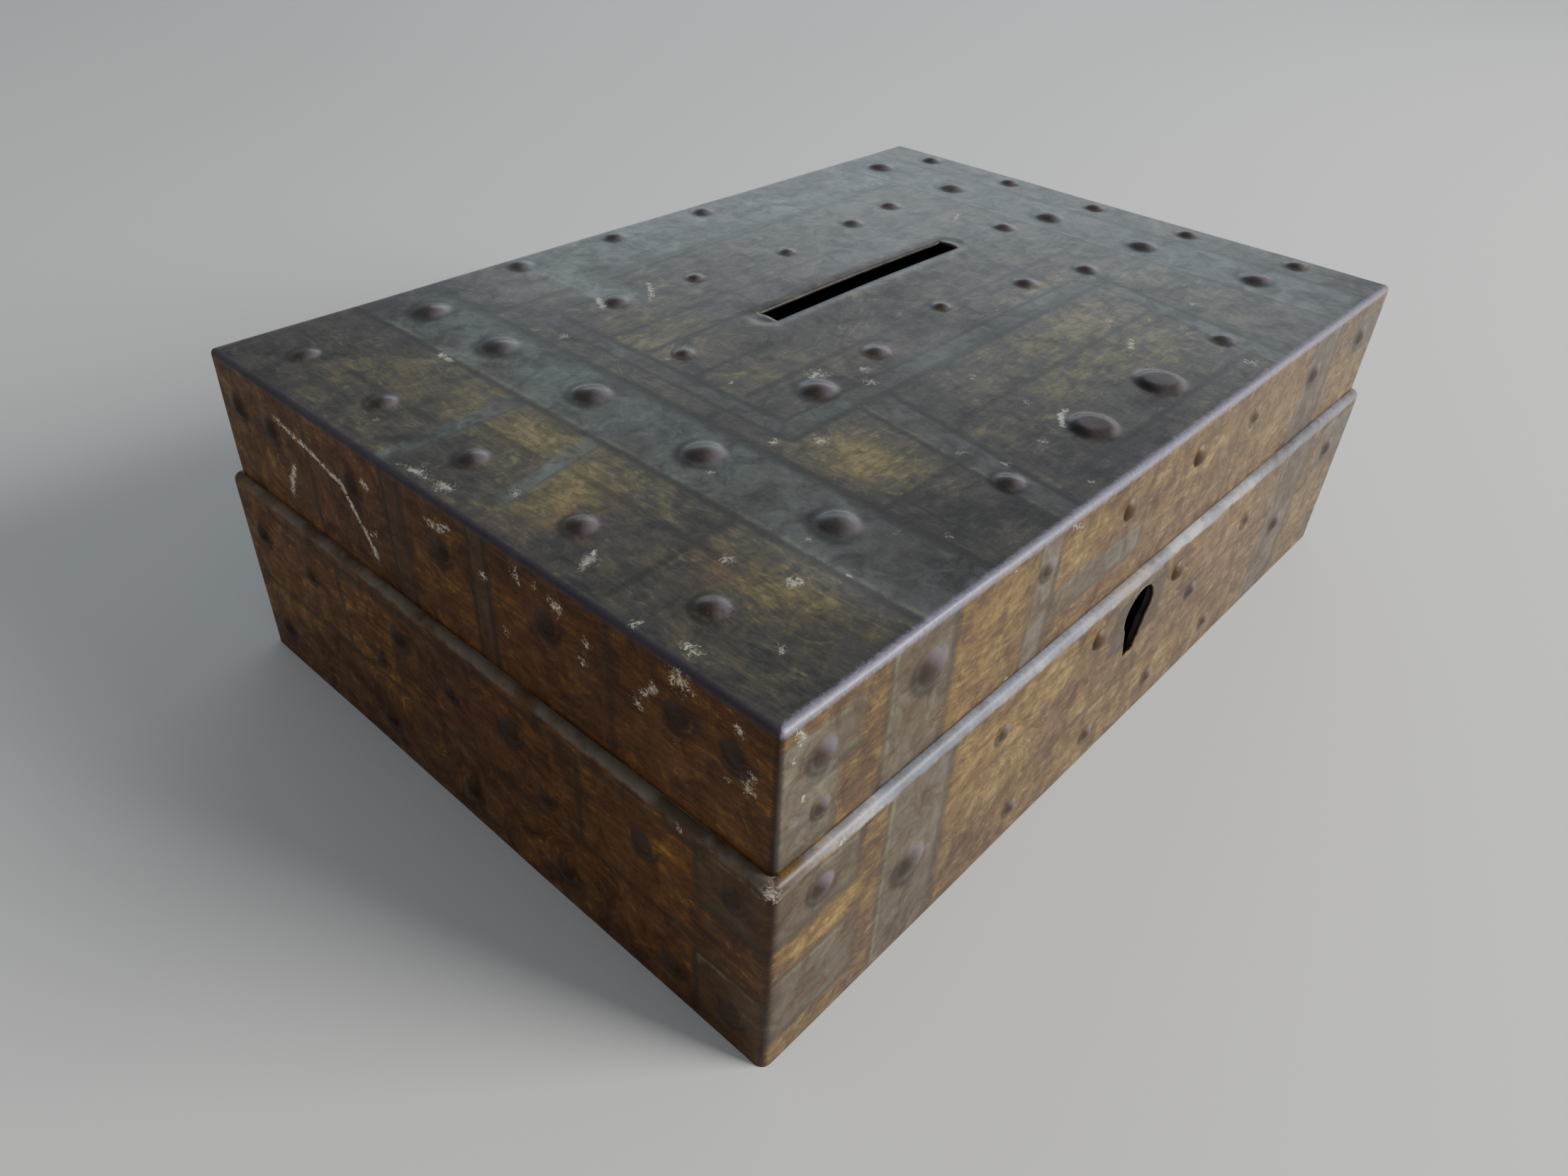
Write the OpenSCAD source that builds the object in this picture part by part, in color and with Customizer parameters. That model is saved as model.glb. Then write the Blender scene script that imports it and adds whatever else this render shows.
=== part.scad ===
// Tin money box: a pressed base with a stepped neck, a hinged lid with a coin slot,
// two butt hinges at the back and a key-operated sliding bolt behind the keyhole.
//
// Origin: centre of the base's footprint, on the surface that the box stands on.
// +X runs along the front to the right, the keyhole faces -Y, +Z is up. Millimetres.

/* [Box] */
// Outside width of the base
body_w = 130; // [120:1:170]
// Outside depth of the base
body_d = 90; // [80:1:120]
// Height of the ledge that the lid closes onto
ledge_h = 26; // [26:0.5:40]
// Height over the closed lid
total_h = 42.4; // [40:0.2:60]
// Thickness of the tinplate
sheet = 0.35; // [0.3:0.05:0.5]
// Radius of the base's upright corners
corner_r = 1.1; // [1.1:0.1:2]
// Radius of the rounded shoulder under the lid, and how far the lid stands in from the base
shoulder_r = 1; // [0.8:0.1:1.1]

/* [Lid] */
// Upright gap between the lid's rim and the ledge
rim_gap = 0.2; // [0.1:0.1:0.4]
// Radius of the lid's top edges
lid_edge_r = 0.7; // [0.6:0.1:0.8]
// Length of the coin slot
slot_l = 38.5; // [30:0.5:42]
// Width of the coin slot
slot_w = 3.2; // [2.5:0.1:4]
// Middle of the coin slot, right of the lid's centre
slot_x = 8.5; // [-10:0.5:12]
// Middle of the coin slot, behind the lid's centre
slot_y = 7; // [-10:0.5:12]

/* [Neck] */
// Height of the neck above the ledge
neck_h = 6.5; // [5:0.5:7]
// Gap between the neck and the inside of the lid's rim
neck_gap = 0.6; // [0.5:0.1:0.8]

/* [Pressed studs] */
// Radius of a large stud
stud_big_r = 2.5; // [2:0.1:2.8]
// Radius of a small stud
stud_small_r = 1.8; // [1.4:0.1:2]
// Radius of the two flat studs at the front of the lid
stud_flat_r = 2.9; // [2.5:0.1:3.2]
// Height of a stud
stud_h = 0.5; // [0.3:0.1:0.7]

/* [Hinges] */
// Distance of each hinge's middle from the box's centre
hinge_x = 38; // [30:1:45]
// Width of a hinge leaf
hinge_w = 22; // [18:1:26]
// Radius of the hinge pin
pin_r = 0.6; // [0.5:0.05:0.7]
// Outside radius of a hinge knuckle
knuckle_r = 1.25; // [1.2:0.05:1.4]
// Thickness of a hinge leaf
leaf_t = 0.5; // [0.4:0.05:0.6]

/* [Lock] */
// Middle of the keyhole, right of the centre line
key_x = -1.5; // [-4:0.5:4]
// Height of the middle of the keyhole's round head
key_z = 20.5; // [20.5:0.5:21]
// Radius of the keyhole's round head
key_head_r = 3.2; // [2.5:0.1:3.3]
// Distance from the head's middle down to the keyhole's lower end
key_drop = 6.8; // [6:0.1:7]
// Travel of the bolt
bolt_travel = 3.5; // [3:0.1:3.5]

/* [Hidden] */
$fn = 48;

tin_print = "darkgoldenrod";
tin_bare = "silver";
steel = "slategray";
brass = "goldenrod";

// A clearance cut reaches this far past the faces that it opens
past = 1;

// Base
wall_h = ledge_h - shoulder_r;                  // where the upright wall turns into the shoulder
wall_in_x = body_w / 2 - sheet;                 // inner faces of the side walls
wall_in_y = body_d / 2 - sheet;                 // inner faces of the front and back walls
neck_inset = shoulder_r + sheet + neck_gap;     // from the base's outside to the neck's outside
neck_w = body_w - 2 * neck_inset;
neck_d = body_d - 2 * neck_inset;
neck_corner_r = 0.8;
panel_flange_h = 5;
panel_gap = 0.05;

// Lid
lid_w = body_w - 2 * shoulder_r;
lid_d = body_d - 2 * shoulder_r;
lid_corner_r = 0.8;
lid_z = ledge_h + rim_gap;
lid_h = total_h - lid_z;

// Hinge axis
axis_y = body_d / 2 + knuckle_r;
axis_z = ledge_h + 0.1;
pin_fit = 0.02;
pin_running = 0.06;
knuckle_gap = 0.3;
knuckle_w = (hinge_w - 2 * knuckle_gap) / 3;
base_leaf_low = 13;
lid_leaf_top = 39;
hinge_rivet_pitch = 12;
base_rivet_z = 18;
lid_rivet_z = 34;
rivet_r = 0.8;
rivet_head_r = 1.5;
rivet_head_h = 0.6;
rivet_fit = 0.05;

// Lock: the plate on the front wall, then the case, the bolt and the hanging tongue, front to back
plate_t = 0.6;
plate_front = -wall_in_y;
plate_back = plate_front + plate_t;
plate_half_w = 21.5;
plate_low = 10.6;
plate_top = 24.7;
case_sheet = 0.6;
case_half_w = 17;
case_low = 11.4;
case_top = 24.6;
case_back = -37.9;
case_floor = case_back - case_sheet;
case_ear_w = 4;
case_rivet_x = 19.2;
case_rivet_z = [14, 22.4];
lock_rivet_x = 9.4;
lock_rivet_z = 21.4;
tail_half_w = 2.6;
tail_half_w_low = 1.2;
pilot_r = 2.3;
stud_r = 0.9;
stud_fit = 0.1;
stud_collar_r = 1.6;
stud_collar_t = 0.4;
stud_x = [-9.5, 8.5];
stud_z = 14.7;
bolt_t = 1.2;
bolt_back = case_floor - stud_collar_t - stud_fit;
bolt_front = bolt_back - bolt_t;
bolt_low = 12.6;
bolt_bar_top = 16.8;
bolt_post_top = 23.4;
talon_w = 2.8;
talon_low = key_z - key_drop - 0.3;
detent_x = -8.3;
lug = [3.2, 6.4];
lug_z = [20.2, 23.2];
lug_front = -42;
tongue_x = [7.2, 14.2];
tongue_low = 18.6;
tongue_y = -41.3;
strike_t = 0.8;
strike_half_w = 13.5;
strike_bend_z = 33.3;
strike_top_z = 40.6;
strike_rivet_x = 8.1;
strike_rivet_z = 37.6;
spring_post = [-13.5, 21.4];
spring_post_r = 0.7;
spring_t = 0.35;
spring_w = 2;

// Studs as [place along the face, height or depth, radius], read from left to right.
// On the top: x, y. On an upright face: distance from the face's middle, z.
strap_studs = [for (y = [36, 22.2, 5.8, -11.6, -29.2]) [-40, y, stud_big_r]];
left_column_studs = [for (y = [35, 19.3, 3.4, -13.1, -30]) [-57, y, stud_small_r]];
right_strap_studs = [for (y = [37.7, 22.7, 4.1, -12.1, -29.8]) [50.5, y, stud_big_r]];
right_column_studs = [for (y = [34.3, 18.1, 1.8, -14.4, -31.5]) [60.5, y, stud_small_r]];
panel_studs = [
    [-22.8, 40.8, stud_small_r], [-6.4, 40.8, stud_small_r], [11, 40.8, stud_small_r],
    [-21.4, 23.1, stud_small_r], [-8.5, 22.3, 1.3], [7.8, 20.6, 1.5],
    [24.3, 22.3, stud_small_r], [35.3, 23.7, stud_small_r],
    [-25.6, 6.4, 1.3], [40.7, 6, stud_small_r],
    [-21, -10.3, stud_big_r], [-8.5, -8.6, stud_small_r], [8.4, -5.8, 1.3],
    [24, -8.6, stud_small_r], [35.1, -11.5, stud_small_r],
    [-21.8, -36.1, stud_small_r], [27.3, -35.7, stud_small_r]
];
top_studs = concat(strap_studs, left_column_studs, right_strap_studs, right_column_studs, panel_studs);
flat_studs = [[-5.3, -35.9, stud_flat_r - 0.2], [10, -35.9, stud_flat_r]];

front_lid_studs = [
    [-58.6, 36.8, stud_small_r], [-58.4, 30.6, 1.2], [-44.4, 37.1, stud_big_r],
    [-26, 38.2, 1.4], [21.8, 37.1, 1.4], [40.8, 36.4, stud_small_r], [57, 36.8, stud_small_r]
];
front_base_studs = concat(
    [[-58.6, 21.5, stud_small_r], [-44.4, 12.5, stud_big_r], [-29.9, 19.9, 1.4],
     [14.9, 14.9, 1.4], [28.7, 19.4, 1.4], [43.3, 12.3, stud_small_r], [57, 19.5, stud_small_r]],
    [for (x = [-24.3, -7.5, 8, 24.5]) [x, 4.6, 1.3]]
);
side_lid_studs = [for (u = [-39.5, -32.2, -15.8, 0.2, 16.1, 32.9, 39.4]) [u, 37, stud_small_r]];
side_base_studs = concat(
    [[-39.8, 19.7, stud_small_r], [-28.9, 19.1, 1.4], [-10.1, 20.6, stud_small_r],
     [-1, 18.5, 1.3], [9.6, 20.2, stud_small_r], [29.1, 19.3, stud_small_r], [40.5, 21.2, 1.4],
     [-15, 14.3, 1.4], [14.6, 14.3, 1.4]],
    [for (u = [-40, -15.7, 0.5, 16.7, 32.7, 40.5]) [u, 5, stud_small_r]]
);
back_lid_studs = [for (x = [-57, -19, 0, 19, 57]) [x, 37, stud_small_r]];
back_base_studs = concat(
    [for (x = [-57, -19, 0, 19, 57]) [x, 19.5, stud_small_r]],
    [for (x = [-48, -32, -16, 0, 16, 32, 48]) [x, 5, 1.4]]
);

// ---------- shared shapes ----------

// Rectangle about the origin with true arcs at its corners
module round_rect(w, d, r) {
    square([w - 2 * r, d], center = true);
    square([w, d - 2 * r], center = true);
    for (x = [-1, 1])
        for (y = [-1, 1])
            translate([x * (w / 2 - r), y * (d / 2 - r)]) circle(r);
}

// Upright band with round corners and no floor
module band(w, d, r, t, h) {
    linear_extrude(h) difference() {
        round_rect(w, d, r);
        round_rect(w - 2 * t, d - 2 * t, max(r - t, 0.1));
    }
}

// Block whose upright corners have radius r and whose top edges are rounded by edge_r
module soft_block(w, d, h, r, edge_r) {
    linear_extrude(h - edge_r) round_rect(w, d, r);
    translate([0, 0, h - edge_r]) soft_cap(w, d, r, edge_r);
}

// Slab of height edge_r, with its upper edges rounded all round
module soft_cap(w, d, r, edge_r) {
    corner_x = w / 2 - r;
    corner_y = d / 2 - r;
    linear_extrude(edge_r) round_rect(w - 2 * edge_r, d - 2 * edge_r, max(r - edge_r, 0.1));
    intersection() {
        linear_extrude(edge_r) square([w, d], center = true);
        union() {
            for (y = [-1, 1])
                translate([0, y * (d / 2 - edge_r), 0])
                    rotate([0, 90, 0]) cylinder(r = edge_r, h = 2 * corner_x, center = true);
            for (x = [-1, 1])
                translate([x * (w / 2 - edge_r), 0, 0])
                    rotate([90, 0, 0]) cylinder(r = edge_r, h = 2 * corner_y, center = true);
            for (x = [-1, 1])
                for (y = [-1, 1])
                    translate([x * corner_x, y * corner_y, 0]) rotate_extrude() corner_profile(r, edge_r);
        }
    }
}

// Half section of a rounded corner: a quarter round of edge_r standing r from the axis
module corner_profile(r, edge_r) {
    square([r - edge_r, edge_r]);
    intersection() {
        translate([r - edge_r, 0]) circle(edge_r);
        square([r, edge_r]);
    }
}

// Low dome of radius r and height h on the plane z = 0
module dome(r, h) {
    ball_r = (r * r + h * h) / (2 * h);
    intersection() {
        translate([0, 0, h - ball_r]) sphere(ball_r);
        translate([0, 0, -sheet / 2]) cylinder(r = r, h = h + sheet);
    }
}

// Places its children on the front, right, back or left wall (turn 0, 1, 2, 3), with the child's
// Z pointing outwards, its X along the wall to the right and its Y up
module on_wall(turn, reach) {
    rotate([0, 0, 90 * turn]) translate([0, -reach, 0]) rotate([90, 0, 0]) children();
}

module wall_domes(turn, reach, studs) {
    on_wall(turn, reach)
        for (s = studs) translate([s[0], s[1], 0]) dome(s[2], stud_h);
}

// Outline of the keyhole about the middle of its head: a round head over a tapering tail
module keyhole_outline(grow = 0) {
    circle(key_head_r + grow);
    polygon([
        [-tail_half_w - grow, 0], [tail_half_w + grow, 0],
        [tail_half_w_low + grow, -key_drop - grow], [-tail_half_w_low - grow, -key_drop - grow]
    ]);
}

// Prism of a front-view outline (x, z) between two depths
module front_prism(y_low, y_high) {
    translate([0, y_high, 0]) rotate([90, 0, 0]) linear_extrude(y_high - y_low) children();
}

// Shank of a rivet along Y, with a domed head on its far end
module rivet_y(from_y, to_y, front_head, back_head) {
    translate([0, to_y, 0]) rotate([90, 0, 0]) cylinder(r = rivet_r, h = to_y - from_y);
    if (front_head) translate([0, from_y, 0]) rotate([90, 0, 0]) rivet_head();
    if (back_head) translate([0, to_y, 0]) rotate([-90, 0, 0]) rivet_head();
}

module rivet_head() {
    ball_r = (rivet_head_r * rivet_head_r + rivet_head_h * rivet_head_h) / (2 * rivet_head_h);
    intersection() {
        translate([0, 0, rivet_head_h - ball_r]) sphere(ball_r);
        cylinder(r = rivet_head_r, h = rivet_head_h);
    }
}

// Holes for rivets along Y, at each [x, z] of the list
module rivet_holes_y(places, y_low, y_high) {
    for (p = places)
        translate([p[0], y_high, p[1]]) rotate([90, 0, 0]) cylinder(r = rivet_r + rivet_fit, h = y_high - y_low);
}

// ---------- box ----------

lock_rivet_places = [for (side = [-1, 1]) [key_x + side * lock_rivet_x, lock_rivet_z]];
case_rivet_places = [for (side = [-1, 1]) for (z = case_rivet_z) [key_x + side * case_rivet_x, z]];
strike_rivet_places = [for (side = [-1, 1]) [key_x + side * strike_rivet_x, strike_rivet_z]];

function hinge_rivet_places(side, z) =
    [for (half = [-1, 1]) [side * hinge_x + half * hinge_rivet_pitch / 2, z]];

module shoulder_shell() {
    difference() {
        translate([0, 0, wall_h]) soft_cap(body_w, body_d, corner_r, shoulder_r);
        translate([0, 0, wall_h - past])
            soft_block(body_w - 2 * sheet, body_d - 2 * sheet, past + shoulder_r - sheet,
                corner_r - sheet, shoulder_r - sheet);
        translate([0, 0, wall_h - past])
            linear_extrude(shoulder_r + 2 * past) round_rect(neck_w - 2 * sheet, neck_d - 2 * sheet, neck_corner_r);
    }
}

module base_band() {
    color(tin_print) difference() {
        union() {
            band(body_w, body_d, corner_r, sheet, wall_h);
            shoulder_shell();
            translate([0, 0, ledge_h - sheet]) band(neck_w, neck_d, neck_corner_r, sheet, neck_h + sheet);
            wall_domes(0, body_d / 2, front_base_studs);
            wall_domes(2, body_d / 2, back_base_studs);
            for (turn = [1, 3]) wall_domes(turn, body_w / 2, side_base_studs);
        }
        translate([key_x, 0, key_z]) front_prism(-body_d / 2 - past, -wall_in_y + past) keyhole_outline();
        rivet_holes_y(lock_rivet_places, -body_d / 2 - past, -wall_in_y + past);
        for (side = [-1, 1])
            rivet_holes_y(hinge_rivet_places(side, base_rivet_z), wall_in_y - past, body_d / 2 + past);
    }
}

module bottom_panel() {
    w = 2 * (wall_in_x - panel_gap);
    d = 2 * (wall_in_y - panel_gap);
    r = corner_r - sheet;
    color(tin_bare) {
        linear_extrude(sheet) round_rect(w, d, r);
        band(w, d, r, sheet, panel_flange_h);
    }
}

module lid_tray() {
    color(tin_print) difference() {
        union() {
            translate([0, 0, lid_z]) soft_block(lid_w, lid_d, lid_h, lid_corner_r, lid_edge_r);
            for (s = top_studs) translate([s[0], s[1], total_h]) dome(s[2], stud_h);
            for (s = flat_studs) translate([s[0], s[1], total_h - sheet / 2]) cylinder(r = s[2], h = stud_h + sheet / 2);
            wall_domes(0, lid_d / 2, front_lid_studs);
            wall_domes(2, lid_d / 2, back_lid_studs);
            for (turn = [1, 3]) wall_domes(turn, lid_w / 2, side_lid_studs);
        }
        translate([0, 0, lid_z - past])
            soft_block(lid_w - 2 * sheet, lid_d - 2 * sheet, lid_h + past - sheet,
                lid_corner_r - sheet, lid_edge_r - sheet);
        translate([slot_x, slot_y, total_h]) cube([slot_l, slot_w, 4 * past], center = true);
        rivet_holes_y(strike_rivet_places, -lid_d / 2 - past, -lid_d / 2 + past);
        for (side = [-1, 1])
            rivet_holes_y(hinge_rivet_places(side, lid_rivet_z), lid_d / 2 - past, lid_d / 2 + past);
    }
}

// ---------- hinges ----------

// Barrel along X about the hinge axis, from x_low to x_high
module barrel(x_low, x_high, r) {
    translate([x_low, axis_y, axis_z]) rotate([0, 90, 0]) cylinder(r = r, h = x_high - x_low);
}

// Sheet of a leaf, as a side-view outline (y, z) drawn from x_low to x_high
module side_prism(x_low, x_high) {
    translate([x_low, 0, 0]) rotate([90, 0, 90]) linear_extrude(x_high - x_low) children();
}

// Leaf flat on the base's back wall, with a knuckle at each end
module hinge_leaf_base(side) {
    left = side * hinge_x - hinge_w / 2;
    right = left + hinge_w;
    color(steel) difference() {
        union() {
            side_prism(left, right)
                translate([body_d / 2, base_leaf_low]) square([leaf_t, axis_z - knuckle_r - knuckle_gap - base_leaf_low]);
            for (x = [left, right - knuckle_w]) {
                side_prism(x, x + knuckle_w)
                    translate([body_d / 2, base_leaf_low]) square([leaf_t, axis_z - base_leaf_low]);
                barrel(x, x + knuckle_w, knuckle_r);
            }
        }
        barrel(left - past, right + past, pin_r + pin_fit);
        rivet_holes_y(hinge_rivet_places(side, base_rivet_z), body_d / 2 - past, body_d / 2 + leaf_t + past);
    }
}

// Leaf on the back of the lid, stepped out to the middle knuckle
module hinge_leaf_lid(side) {
    left = side * hinge_x - hinge_w / 2;
    right = left + hinge_w;
    knuckle_left = left + knuckle_w + knuckle_gap;
    step_low = axis_z + knuckle_r - leaf_t;
    color(steel) difference() {
        union() {
            side_prism(left, right)
                translate([lid_d / 2, step_low + 1]) square([leaf_t, lid_leaf_top - step_low - 1]);
            side_prism(knuckle_left, knuckle_left + knuckle_w) {
                translate([lid_d / 2, step_low]) square([axis_y - lid_d / 2, leaf_t]);
                translate([lid_d / 2, step_low]) square([leaf_t, lid_leaf_top - step_low]);
            }
            barrel(knuckle_left, knuckle_left + knuckle_w, knuckle_r);
        }
        barrel(left - past, right + past, pin_r + pin_running);
        rivet_holes_y(hinge_rivet_places(side, lid_rivet_z), lid_d / 2 - past, lid_d / 2 + leaf_t + past);
    }
}

module hinge_leaf_base_left() hinge_leaf_base(-1);
module hinge_leaf_base_right() hinge_leaf_base(1);
module hinge_leaf_lid_left() hinge_leaf_lid(-1);
module hinge_leaf_lid_right() hinge_leaf_lid(1);

module hinge_pin(side) {
    left = side * hinge_x - hinge_w / 2;
    color(tin_bare) barrel(left, left + hinge_w, pin_r);
}

module hinge_pin_left() hinge_pin(-1);
module hinge_pin_right() hinge_pin(1);

module hinge_rivets_base() {
    color(steel)
        for (side = [-1, 1])
            for (p = hinge_rivet_places(side, base_rivet_z))
                translate([p[0], 0, p[1]]) rivet_y(wall_in_y, body_d / 2 + leaf_t, true, true);
}

module hinge_rivets_lid() {
    color(steel)
        for (side = [-1, 1])
            for (p = hinge_rivet_places(side, lid_rivet_z))
                translate([p[0], 0, p[1]]) rivet_y(lid_d / 2 - sheet, lid_d / 2 + leaf_t, true, true);
}

// ---------- lock ----------

module lock_plate() {
    color(steel) difference() {
        front_prism(plate_front, plate_back)
            translate([key_x - plate_half_w, plate_low]) square([2 * plate_half_w, plate_top - plate_low]);
        translate([key_x, 0, key_z]) front_prism(plate_front - past, plate_back + past) keyhole_outline(0.2);
        rivet_holes_y(concat(lock_rivet_places, case_rivet_places), plate_front - past, plate_back + past);
    }
}

// Open-fronted case over the bolt, with an ear on each side and a slot in its top for the tongue
module lock_case() {
    tongue_room = 0.6;
    color(steel) translate([key_x, 0, 0]) difference() {
        union() {
            translate([-case_half_w, plate_back, case_low])
                cube([2 * case_half_w, case_back - plate_back, case_top - case_low]);
            translate([-case_half_w - case_ear_w, plate_back, case_low])
                cube([2 * (case_half_w + case_ear_w), case_sheet, case_top - case_low]);
        }
        translate([-case_half_w + case_sheet, plate_back - past, case_low + case_sheet])
            cube([2 * (case_half_w - case_sheet), case_floor - plate_back + past,
                case_top - case_low - 2 * case_sheet]);
        translate([tongue_x[0] - tongue_room, tongue_y - 1.3 * tongue_room, case_top - past])
            cube([tongue_x[1] - tongue_x[0] + 2 * tongue_room, strike_t + 2.3 * tongue_room, 2 * past]);
        translate([0, case_back + past, key_z]) rotate([90, 0, 0]) cylinder(r = pilot_r, h = case_sheet + 2 * past);
        for (x = stud_x)
            translate([x, case_back + past, stud_z]) rotate([90, 0, 0])
                cylinder(r = stud_r + rivet_fit, h = case_sheet + 2 * past);
        translate([spring_post[0], case_back + past, spring_post[1]]) rotate([90, 0, 0])
            cylinder(r = spring_post_r + rivet_fit, h = case_sheet + 2 * past);
        translate([-key_x, 0, 0]) rivet_holes_y(case_rivet_places, plate_back - past, plate_back + case_sheet + past);
    }
}

// Bar with two guide slots, a talon notch for the key, two detent notches and a post with the lug
module lock_bolt() {
    slot_r = stud_r + stud_fit;
    color(brass) translate([key_x, 0, 0]) {
        front_prism(bolt_front, bolt_back) difference() {
            union() {
                translate([-15.4, bolt_low]) square([26.4, bolt_bar_top - bolt_low]);
                translate([lug[0] - 0.5, bolt_low]) square([lug[1] - lug[0] + 0.5, bolt_post_top - bolt_low]);
            }
            for (x = stud_x) {
                translate([x - bolt_travel, stud_z - slot_r]) square([bolt_travel, 2 * slot_r]);
                for (end = [0, 1]) translate([x - end * bolt_travel, stud_z]) circle(slot_r);
            }
            translate([-talon_w / 2 - bolt_travel, talon_low])
                square([talon_w + bolt_travel, bolt_bar_top - talon_low + past]);
            for (end = [0, 1])
                translate([detent_x - end * bolt_travel, bolt_bar_top]) rotate(45) square(0.8, center = true);
        }
        front_prism(lug_front, bolt_front)
            translate([lug[0], lug_z[0]]) square([lug[1] - lug[0], lug_z[1] - lug_z[0]]);
    }
}

// Two shouldered studs that carry the bolt, and the post that the spring is hooked round
module lock_studs() {
    color(tin_bare) translate([key_x, 0, 0]) {
        for (x = stud_x) translate([x, 0, stud_z]) bolt_stud();
        translate([spring_post[0], case_back + rivet_head_h, spring_post[1]])
            rotate([90, 0, 0]) cylinder(r = spring_post_r, h = case_back + rivet_head_h - bolt_front + 0.2);
    }
}

module bolt_stud() {
    front_head_back = bolt_front - stud_fit;
    translate([0, case_back, 0]) rotate([90, 0, 0]) cylinder(r = stud_r, h = case_back - front_head_back);
    translate([0, case_floor, 0]) rotate([90, 0, 0]) cylinder(r = stud_collar_r, h = stud_collar_t);
    translate([0, front_head_back, 0]) rotate([90, 0, 0]) cylinder(r = stud_collar_r, h = 0.5);
    translate([0, case_back, 0]) rotate([-90, 0, 0]) rivet_head();
}

// Leaf spring: an eye round its post, a straight run and a blunt nose just over the bolt's edge
module lock_spring() {
    eye_r = spring_post_r + 0.05;
    nose = [detent_x, bolt_bar_top + 0.15];
    color(tin_bare) translate([key_x, 0, 0]) front_prism(bolt_back - spring_w, bolt_back - 0.2) difference() {
        union() {
            translate(spring_post) circle(eye_r + spring_t);
            strip([spring_post[0] + 0.4, spring_post[1] - 0.9], [nose[0] - 1, nose[1] + 1.1]);
            strip([nose[0] - 1, nose[1] + 1.1], [nose[0], nose[1] + spring_t / 2]);
            strip([nose[0], nose[1] + spring_t / 2], [nose[0] + 1.1, nose[1] + 1.2]);
        }
        translate(spring_post) circle(eye_r);
    }
}

// Thin straight strip with round ends between two points
module strip(a, b) {
    run = b - a;
    translate(a) circle(spring_t / 2);
    translate(b) circle(spring_t / 2);
    translate(a) rotate(atan2(run[1], run[0])) translate([0, -spring_t / 2]) square([norm(run), spring_t]);
}

module lock_rivets() {
    color(tin_print)
        for (p = lock_rivet_places)
            translate([p[0], 0, p[1]]) rivet_y(-body_d / 2, plate_back, true, true);
}

module case_rivets() {
    color(steel)
        for (p = case_rivet_places)
            translate([p[0], 0, p[1]]) rivet_y(plate_front, plate_back + case_sheet, false, true);
}

// Flange on the inside of the lid's front rim, a step in over the neck and the tongue that the bolt holds
module strike_plate() {
    flange_y = -lid_d / 2 + sheet;
    notch_w = 4.2;
    color(steel) difference() {
        union() {
            translate([key_x - strike_half_w, flange_y, strike_bend_z])
                cube([2 * strike_half_w, strike_t, strike_top_z - strike_bend_z]);
            translate([key_x + tongue_x[0] - 2, flange_y, strike_bend_z])
                cube([tongue_x[1] - tongue_x[0] + 2, tongue_y + strike_t - flange_y, strike_t]);
            front_prism(tongue_y, tongue_y + strike_t) translate([key_x, 0]) difference() {
                translate([tongue_x[0], tongue_low])
                    square([tongue_x[1] - tongue_x[0], strike_bend_z + strike_t - tongue_low]);
                translate([tongue_x[0] - past, lug_z[0] - 0.5])
                    square([notch_w + past, lug_z[1] - lug_z[0] + 1]);
            }
        }
        rivet_holes_y(strike_rivet_places, flange_y - past, flange_y + strike_t + past);
    }
}

module strike_rivets() {
    color(tin_print)
        for (p = strike_rivet_places)
            translate([p[0], 0, p[1]]) rivet_y(-lid_d / 2, -lid_d / 2 + sheet + strike_t, true, true);
}

base_band();
bottom_panel();
lid_tray();
hinge_leaf_base_left();
hinge_leaf_base_right();
hinge_leaf_lid_left();
hinge_leaf_lid_right();
hinge_pin_left();
hinge_pin_right();
hinge_rivets_base();
hinge_rivets_lid();
lock_plate();
lock_case();
lock_bolt();
lock_studs();
lock_spring();
lock_rivets();
case_rivets();
strike_plate();
strike_rivets();
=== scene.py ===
import math

import bmesh
import bpy
import numpy as np
from mathutils import Matrix, Vector


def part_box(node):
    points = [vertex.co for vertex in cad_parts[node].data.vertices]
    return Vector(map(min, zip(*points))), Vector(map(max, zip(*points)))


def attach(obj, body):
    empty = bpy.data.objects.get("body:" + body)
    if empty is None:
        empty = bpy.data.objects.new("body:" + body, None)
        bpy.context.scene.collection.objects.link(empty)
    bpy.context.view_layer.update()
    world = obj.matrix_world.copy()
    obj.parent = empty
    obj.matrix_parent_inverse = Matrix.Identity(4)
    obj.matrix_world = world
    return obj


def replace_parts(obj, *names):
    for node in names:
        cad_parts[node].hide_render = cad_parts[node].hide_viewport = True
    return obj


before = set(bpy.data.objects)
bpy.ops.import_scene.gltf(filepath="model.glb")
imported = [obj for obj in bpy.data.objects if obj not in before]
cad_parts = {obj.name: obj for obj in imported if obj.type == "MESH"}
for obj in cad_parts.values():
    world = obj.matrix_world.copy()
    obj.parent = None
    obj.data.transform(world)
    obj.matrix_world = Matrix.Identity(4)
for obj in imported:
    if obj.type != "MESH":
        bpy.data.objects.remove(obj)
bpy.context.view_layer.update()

# The tin money box's looks. Two finely divided shells, the lid and the base, replace the CAD's plain
# sheet parts and carry the pressed studs and the print. All other pieces keep their CAD meshes.

# Lengths below are in millimetres in the CAD's own frame: origin at the centre of the footprint on
# the floor, +X to the right along the front, the keyhole faces -Y, +Z up. MM turns them into metres.
MM = 0.001

# ---- sizes, read from the CAD nodes

STUD_H = 0.5            # the CAD's studs stand this far out of the sheet
SHEET = 0.35            # thickness of the tin
LEDGE_GAP = 0.03        # from the top of the base's shoulder to the lid's rim
NECK_GAP = 0.6          # from the inside of the lid to the base's neck
GRID = 0.5              # distance between the shells' grid lines


def node_box(node):
    """Lowest and highest corner of a CAD node, in mm."""
    low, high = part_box(node)
    return np.array(low) / MM, np.array(high) / MM


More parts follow.
